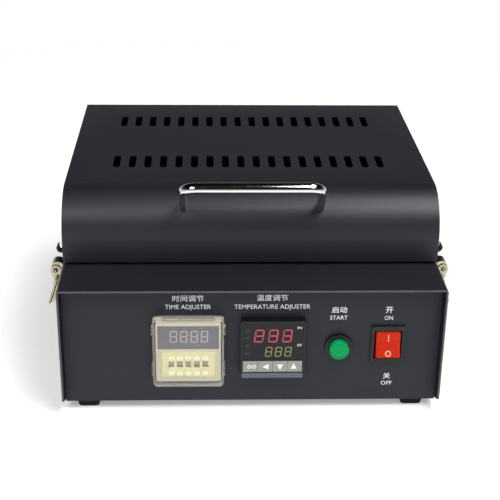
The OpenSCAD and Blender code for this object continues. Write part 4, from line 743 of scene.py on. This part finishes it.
def makeDisplays():
    y = cadBox("controller_window")[0][1] - proud
    face = controllerFace
    lit, dim, green = [], [], []
    for number, x in zip(face["number"], face["redPlaces"]):
        off = [bar for bar in segmentLayout if bar not in litBars[number]]
        lit += digitBars(litBars[number], (x, y, face["redZ"]), face["redSize"], face["redBar"])
        dim += digitBars(off, (x, y, face["redZ"]), face["redSize"], face["redBar"])
    for x in face["greenPlaces"]:
        green += digitBars(segmentLayout, (x, y, face["greenZ"]), face["greenSize"], face["greenBar"])
    marks, names = [
        [glyphs(word, (x, y, z), (width, height)) for word, x, z, width, height in words]
        for words in (face["marks"], face["lampNames"])
    ]
    rows = {
        "LitSegments": (lit, "redSegment"),
        "UnlitSegments": (dim, "dimRedSegment"),
        "SetSegments": (green, "greenSegment"),
        "Marks": (marks, "whiteInk"),
        "LampNames": (names, "greyInk"),
    }
    for name, (shapes, finish) in rows.items():
        addPiece("controller" + name, joined(shapes), finish, "base", sharp=20)
    face, y, pale = timerFace, cadBox("timer_window")[0][1] - proud, []
    for x in face["places"]:
        pale += digitBars(segmentLayout, (x, y, face["z"]), face["size"], face["bar"], face["slant"])
    addPiece("timerSegments", joined(pale), "paleSegment", "base")


makeDisplays()


keyMarks = {
    # key: how far its mark stands right of the key's middle, and the way its arrow points in degrees
    "set": (1.3, None),
    "left": (0.9, 180),
    "down": (0.2, -90),
    "up": (-0.8, 90),
}
markSizes = {"loopOut": 1.5, "loopIn": 0.95, "loopApart": 1.8, "arrow": 2.9, "tail": 128}


def makeKeyMarks():
    # two loops on the first key, then arrows: three points on a circle, the two at the tail drawn apart
    for name, (across, angle) in keyMarks.items():
        node = "controller_key_" + name
        low, high = cadBox(node)
        x, y, z = (low[0] + high[0]) / 2 + across, low[1] - proud, (low[2] + high[2]) / 2
        shapes = []
        if angle is None:
            radii = (markSizes["loopOut"], markSizes["loopIn"])
            flat = np.stack([superEllipse(r, r, count=24) for r in radii])
            for dx in (-markSizes["loopApart"], markSizes["loopApart"]):
                ring = np.stack([flat[..., 0] + x + dx, np.full(flat.shape[:2], y), flat[..., 1] + z], -1)
                shapes.append(((ring * mm).reshape(-1, 3), ringFaces(2, 24)))
        else:
            turn = np.radians([angle, angle + markSizes["tail"], angle - markSizes["tail"]])
            r = markSizes["arrow"]
            ring = np.stack([r * np.cos(turn) + x, np.full(3, y), r * np.sin(turn) + z], -1)
            shapes.append(loft(np.stack([ring, ring + [0, 0.02, 0]]) * mm))
        addPiece(camel(node) + "Mark", joined(shapes), "whiteInk", node)


makeKeyMarks()


# how far the plate runs past the keys and ahead of the bezel, its thickness, and its margins below and above
strip = {"side": 0.7, "proud": 0.12, "thick": 0.52, "below": 0.5, "above": 0.1}


def makeBlankStrip():
    # the plain plate under the controller's keys, a little wider than their row
    low = cadBox("controller_bezel")[0]
    first, last = cadBox("controller_key_set")[0], cadBox("controller_key_up")[1]
    y = low[1] - strip["proud"]
    left = (first[0] - strip["side"], y, low[2] + strip["below"])
    right = (last[0] + strip["side"], y + strip["thick"], first[2] - strip["above"])
    plate = roundedBlock(left, right, 0.1, axis=1, corner=0.4)
    addPiece("controllerStrip", plate, "blueGreyOverlay", "base")


makeBlankStrip()
print("displays")


wheels = {"pitch": 6.27, "count": 5, "radius": 5.6, "half": 2.08, "shaft": 0.9, "digit": (2.7, 3.7)}


def makeWheels():
    low, high = cadBox("timer_digit_wheels")
    middle = (low + high) / 2
    r, w = wheels["radius"], wheels["half"]
    drums, inks = [], {"darkInk": [], "redInk": []}
    for i in range(wheels["count"]):
        x = middle[0] + (i - 2) * wheels["pitch"]
        shaft = wheels["shaft"]
        rim = [(shaft, -w), (r - 0.2, -w), (r, 0.2 - w), (r, w - 0.2), (r - 0.2, w), (shaft, w)]
        drums.append(lathe(rim, (x, middle[1], middle[2]), (1, 0, 0), 64))
        # the printed 0 is wrapped round the wheel: height over radius is the angle
        points, faces = glyphs("0", (x, middle[1], middle[2]), wheels["digit"], 0.01)
        angle = (points[:, 2] / mm - middle[2]) / r
        reach = r + proud - (points[:, 1] / mm - middle[1])
        wrapped = [middle[1] - reach * np.cos(angle), middle[2] + reach * np.sin(angle)]
        points[:, 1:] = np.stack(wrapped, -1) * mm
        inks["redInk" if i == 2 else "darkInk"].append((points, faces))
    addPiece("timerWheels", joined(drums), "wheelWhite", "base", ("timer_digit_wheels",))
    for ink, shapes in inks.items():
        addPiece("timerNumbers" + ink.capitalize(), joined(shapes), ink, "base", sharp=20)


keyBar = (0.8, 0.16)  # half the length and half the thickness of a bar


def makeTimerKeyMarks():
    # a plus or a minus of thin bars on each key
    for node in [name for name in bodyOf if name.startswith("timer_plus") or name.startswith("timer_minus")]:
        low, high = cadBox(node)
        x, z = (low[0] + high[0]) / 2, (low[2] + high[2]) / 2
        sizes = [keyBar, keyBar[::-1]] if "plus" in node else [keyBar]
        front, back = low[1] - 0.02, low[1] + 0.1
        bars = [roundedBlock((x - a, front, z - b), (x + a, back, z + b), 0.02, axis=1) for a, b in sizes]
        addPiece(camel(node) + "Mark", joined(bars), "darkInk", node)


makeWheels()
makeTimerKeyMarks()

clearCover = {
    "half": 26.3,
    "wall": 1.0,
    "corner": 3.4,
    "edge": 1.1,
    "innerEdge": 0.6,
    "topDepth": 1.0,
    "grip": 0.7,
    "upperGrip": (-10.5, -4.0),  # its ends from the pivot
    "lowerGrip": (9.0, 20.0),  # its ends from the cover's foot
    "gripFront": (1.5, 6.0),  # both grips' ends behind the cover's front
}


def makeClearCover():
    # an open-backed box: a rounded rectangle carried from the back over the front edge, then back along the
    # inside; the back rim follows a circle about the pivot near the top
    low, high = cadBox("timer_cover")
    pivot = pivotOf["timer_cover_hinge"]
    x0, front = pivot[0], low[1]
    halfHeight, reach = (high[2] - low[2]) / 2, high[2] - pivot[2]
    e, t, inner = clearCover["edge"], clearCover["wall"], clearCover["innerEdge"]

    def ring(inset, y=None):
        corner = max(clearCover["corner"] - inset, 0.3)
        flat = roundedRectangle(clearCover["half"] - inset, halfHeight - inset, corner, 10)
        z = flat[:, 1] + (low[2] + high[2]) / 2
        rise = np.clip(z - pivot[2], 0, reach)
        rim = pivot[1] + np.maximum(np.sqrt(reach**2 - rise**2), clearCover["topDepth"])
        return np.stack([flat[:, 0] + x0, rim if y is None else np.full(len(z), y), z], -1) * mm

    turn = np.linspace(0, np.pi / 2, 6)
    rings = [ring(e * (1 - np.sin(a)), front + e * (1 - np.cos(a))) for a in turn]
    rings += [ring(inset) for inset in (0.0, 0.25, t - 0.25, t)]
    rings += [ring(t + inner * (1 - np.sin(a)), front + t + inner * (1 - np.cos(a))) for a in turn[::-1]]
    shapes = [loft(rings)]
    grip, (near, far) = clearCover["grip"], clearCover["gripFront"]
    for s in (-1, 1):
        x = x0 + s * (clearCover["half"] + 0.2)
        for start, ends in ((pivot[2], "upperGrip"), (low[2], "lowerGrip")):
            a, b = [start + end for end in clearCover[ends]]
            shapes.append(roundedBlock((x - grip, front + near, a), (x + grip, front + far, b), 0.4))
    cover, body = joined(shapes), "timer_cover"
    # the walls take the pale finish, painted light that stands for the light running along them
    addPiece("timerCover", cover, "clearPlastic", body, (body,), sharp=35, wall="milkyWall")


makeClearCover()
print("timer")


button = {"stem": 4.0, "stemLength": 11.5, "shoulder": 1.5, "dome": 3.5}


def makeButtonCap():
    # a rounded rim, a fine groove and a slightly crowned face, turned about the button's axis
    low, high = cadBox("start_button_cap")
    middle = (low + high) / 2
    r, out = (high[0] - low[0]) / 2, panelFront - low[1]
    stem, end, back = button["stem"], -button["stemLength"], -button["shoulder"]
    profile = [
        # radius, and how far ahead of the panel
        (0.2, end), (stem - 0.1, end), (stem, back), (r - 0.1, back), (r, back + 0.2),
        (r, out - 0.9), (r - 0.1, out - 0.5), (r - 0.35, out - 0.2), (r - 0.75, out - 0.08),
        (r - 1.1, out - 0.1), (r - 1.25, out - 0.3), (r - 1.45, out - 0.3), (r - 1.6, out - 0.1),
        (button["dome"], out - 0.02), (0.2, out),
    ]
    cap = lathe(profile, (middle[0], panelFront, middle[2]), (0, -1, 0), 64)
    body = "start_button_cap"
    addPiece("startButtonCap", cap, "greenCap", body, (body,), sharp=60)


makeButtonCap()


spring = {"wire": 0.45, "turns": 5, "steps": 24, "travel": 3.0}


def makeSpring():
    # a circle carried along a helix about the button's axis
    low, high = cadBox("start_button_spring")
    middle, wire = (low + high) / 2, spring["wire"]
    turn = np.linspace(0, 2 * np.pi * spring["turns"], spring["turns"] * spring["steps"] + 1)[:, None, None]
    outwards = np.concatenate([np.cos(turn), 0 * turn, np.sin(turn)], -1)
    around = superEllipse(wire, wire, count=12)
    reach = (high[0] - low[0]) / 2 - wire + around[None, :, :1]
    along = low[1] + wire + (high[1] - low[1] - 2 * wire) * turn / turn.max() + around[None, :, 1:]
    rings = outwards * reach + np.array([0, 1.0, 0]) * along + np.array([middle[0], 0, middle[2]])
    coil, node = loft(rings * mm), "start_button_spring"
    addPiece("startButtonSpring", coil, "zincPlate", "base", (node,))
    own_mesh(bpy.data.objects["startButtonSpring"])


makeSpring()


rocker = {
    "tilt": 11.0,
    "face": 5.3,
    "radius": 11.0,
    "half": 9.0,
    "hollow": 0.8,
    "back": 6.0,
    # the two marks: the bar's ends up the face, the ring's radii and its middle below, and their stand
    "bar": (2.9, 8.4),
    "ring": (2.3, 1.4),
    "ringBelow": 6.6,
    "print": 0.04,
}
rockerEnd = np.sqrt(rocker["radius"] ** 2 - rocker["face"] ** 2)


def rockerFace(height):
    # the face stands ahead of the pivot, hollowed by a parabola between its two ends
    return rocker["face"] - rocker["hollow"] * (1 - (height / rockerEnd) ** 2)


def tilted(across, ahead, up):
    # from the rocker's own upright directions to its place at rest, with the upper half in
    angle = np.radians(rocker["tilt"])
    y, z = -ahead * np.cos(angle) + up * np.sin(angle), ahead * np.sin(angle) + up * np.cos(angle)
    return (np.stack([across + 0 * y, y, z], -1) + pivotOf["power_switch"]) * mm


def makeRocker():
    height = np.linspace(rockerEnd - 0.35, 0.35 - rockerEnd, 24)
    r, back = rocker["radius"], rocker["back"]
    start = np.arctan2(0.1 - rockerEnd, rocker["face"] - 0.45)
    end = np.arctan2(-np.sqrt(r**2 - back**2), -back)
    turn = np.linspace(start, end, 10)
    ahead = np.concatenate([rockerFace(height), r * np.cos(turn), r * np.cos(turn[::-1])])
    up = np.concatenate([height, r * np.sin(turn), -r * np.sin(turn[::-1])])
    # side, how far inwards of the half width, and how much smaller than the middle outline
    rows = [(-1, 0.0, 0.6), (-1, 0.15, 0.25), (-1, 0.6, 0.0), (1, 0.6, 0.0), (1, 0.15, 0.25), (1, 0.0, 0.6)]
    rings = []
    for side, inwards, smaller in rows:
        x, scale = side * (rocker["half"] - inwards), 1 - smaller / 9
        rings.append(tilted(x, ahead * scale, up * scale))
    addPiece("powerRocker", loft(rings), "redRocker", "power_rocker", ("power_rocker",))
    x, z = np.meshgrid([-0.35, 0.35], np.linspace(*rocker["bar"], 6))
    bar = (tilted(x, rockerFace(z) + rocker["print"], z).reshape(-1, 3), ringFaces(6, 2, closed=False))
    circles = [superEllipse(radius, radius, count=40) for radius in rocker["ring"]]
    x, z = np.moveaxis(np.stack(circles), -1, 0)
    z = z - rocker["ringBelow"]
    ring = (tilted(x, rockerFace(z) + rocker["print"], z).reshape(-1, 3), ringFaces(2, 40))
    addPiece("rockerMarkOn", bar, "pinkInk", "power_rocker")
    addPiece("rockerMarkOff", ring, "pinkInk", "power_rocker")


makeRocker()


inlet = {"pins": ((-7, -2), (7, -2), (0, 3)), "half": (1.03, 2.03), "deep": 16.9, "back": 2.47}


def makeInletPins():
    low, high = cadBox("mains_inlet")
    x, z, y = (low[0] + high[0]) / 2, (low[2] + high[2]) / 2, high[1]
    a, b = inlet["half"]
    front, back = y - inlet["deep"], y - inlet["back"]
    pins = []
    for dx, dz in inlet["pins"]:
        near, far = (x + dx - a, front, z + dz - b), (x + dx + a, back, z + dz + b)
        pins.append(roundedBlock(near, far, 0.35, axis=1))
    addPiece("inletPins", joined(pins), "brass", "base")


makeInletPins()
print("button, rocker and inlet")


lamps = {
    # name: place and size in metres, and watts; each looks at the oven's middle
    "frontRight": ((0.61, -0.87, 1.68), 0.7, 18.5),
    "highRight": ((0.67, -0.24, 1.86), 0.7, 13.0),
    "frontLeft": ((-0.7, -1.18, 1.38), 0.7, 12.5),
}
studio = {
    "ambient": 0.36,  # how much the surroundings light what is matt
    "wallFall": 6.8,  # the power at which the mirrored wall darkens upwards
    "floorGlow": 0.3,  # added to the floor where it is seen or mirrored
    "paperNear": 0.5,  # metres from the middle at which the floor starts to fade, and at which it is gone
    "paperFar": 1.1,
    "floorHalf": 12.0,
}


def makeLamps():
    for name, (place, size, watts) in lamps.items():
        lamp = bpy.data.lights.new(name, "AREA")
        lamp.size, lamp.energy = size, watts
        ahead = np.array([0, 0, 0.1]) - place
        ahead /= np.linalg.norm(ahead)
        right = np.cross(ahead, [0, 0, 1.0])
        right /= np.linalg.norm(right)
        placed(lamp, right, np.cross(right, ahead), place)


def makeWorld():
    # white to the eye; mirrored, a white wall that darkens upwards as one less the height to a power
    world = bpy.data.worlds.new("studio")
    bpy.context.scene.world = world
    world.use_nodes = True
    tree = world.node_tree
    tree.nodes.clear()
    direction = addNode(tree, "ShaderNodeTexCoord").outputs["Generated"]
    height = addNode(tree, "ShaderNodeSeparateXYZ", None, {0: direction}).outputs[2]
    below = addNode(tree, "ShaderNodeMapRange", None, {0: height, 3: 1.0, 4: 0.0})
    wall = addNode(tree, "ShaderNodeMath", {"operation": "POWER"}, {0: below, 1: studio["wallFall"]})
    path = addNode(tree, "ShaderNodeLightPath").outputs
    either = {0: path["Is Glossy Ray"], 3: studio["ambient"], 4: wall}
    mirrored = addNode(tree, "ShaderNodeMapRange", None, either)
    rays = {0: path["Is Camera Ray"], 1: path["Is Transmission Ray"]}
    seen = addNode(tree, "ShaderNodeMath", {"operation": "MAXIMUM"}, rays)
    strength = addNode(tree, "ShaderNodeMapRange", None, {0: seen, 3: mirrored, 4: 1.0})
    sky = addNode(tree, "ShaderNodeBackground", None, {"Color": (1, 1, 1, 1), "Strength": strength})
    addNode(tree, "ShaderNodeOutputWorld", None, {"Surface": sky})


def makeFloor():
    mesh = bpy.data.meshes.new("floor")
    half = studio["floorHalf"]
    corners = [(-half, -half, 0), (half, -half, 0), (half, half, 0), (-half, half, 0)]
    mesh.from_pydata(corners, [], [[0, 1, 2, 3]])
    material = bpy.data.materials.new("floorPaper")
    material.use_nodes = True
    tree = material.node_tree
    tree.nodes.clear()
    path = addNode(tree, "ShaderNodeLightPath").outputs
    seen = path["Is Camera Ray"]
    for ray in ("Is Glossy Ray", "Is Transmission Ray"):
        seen = addNode(tree, "ShaderNodeMath", {"operation": "MAXIMUM"}, {0: seen, 1: path[ray]})
    lift = addNode(tree, "ShaderNodeMath", {"operation": "MULTIPLY"}, {0: seen, 1: studio["floorGlow"]})
    paper = addNode(tree, "ShaderNodeBsdfDiffuse", None, {"Color": (0.85, 0.85, 0.85, 1)})
    glow = addNode(tree, "ShaderNodeEmission", None, {"Color": (1, 1, 1, 1), "Strength": lift})
    both = addNode(tree, "ShaderNodeAddShader", None, {0: paper, 1: glow})
    # the paper gives way to the white wall with distance, so no horizon shows from a low angle
    place = addNode(tree, "ShaderNodeTexCoord").outputs["Object"]
    away = addNode(tree, "ShaderNodeVectorMath", {"operation": "LENGTH"}, {0: place})
    ends = {0: away.outputs["Value"], 1: studio["paperNear"], 2: studio["paperFar"]}
    fade = addNode(tree, "ShaderNodeMapRange", {"interpolation_type": "SMOOTHSTEP"}, ends)
    clear = addNode(tree, "ShaderNodeBsdfTransparent")
    both = addNode(tree, "ShaderNodeMixShader", None, {0: fade, 1: both, 2: clear})
    addNode(tree, "ShaderNodeOutputMaterial", None, {"Surface": both})
    mesh.materials.append(material)
    floor = bpy.data.objects.new("floor", mesh)
    bpy.context.scene.collection.objects.link(floor)


makeLamps()
makeWorld()
makeFloor()
print("studio")
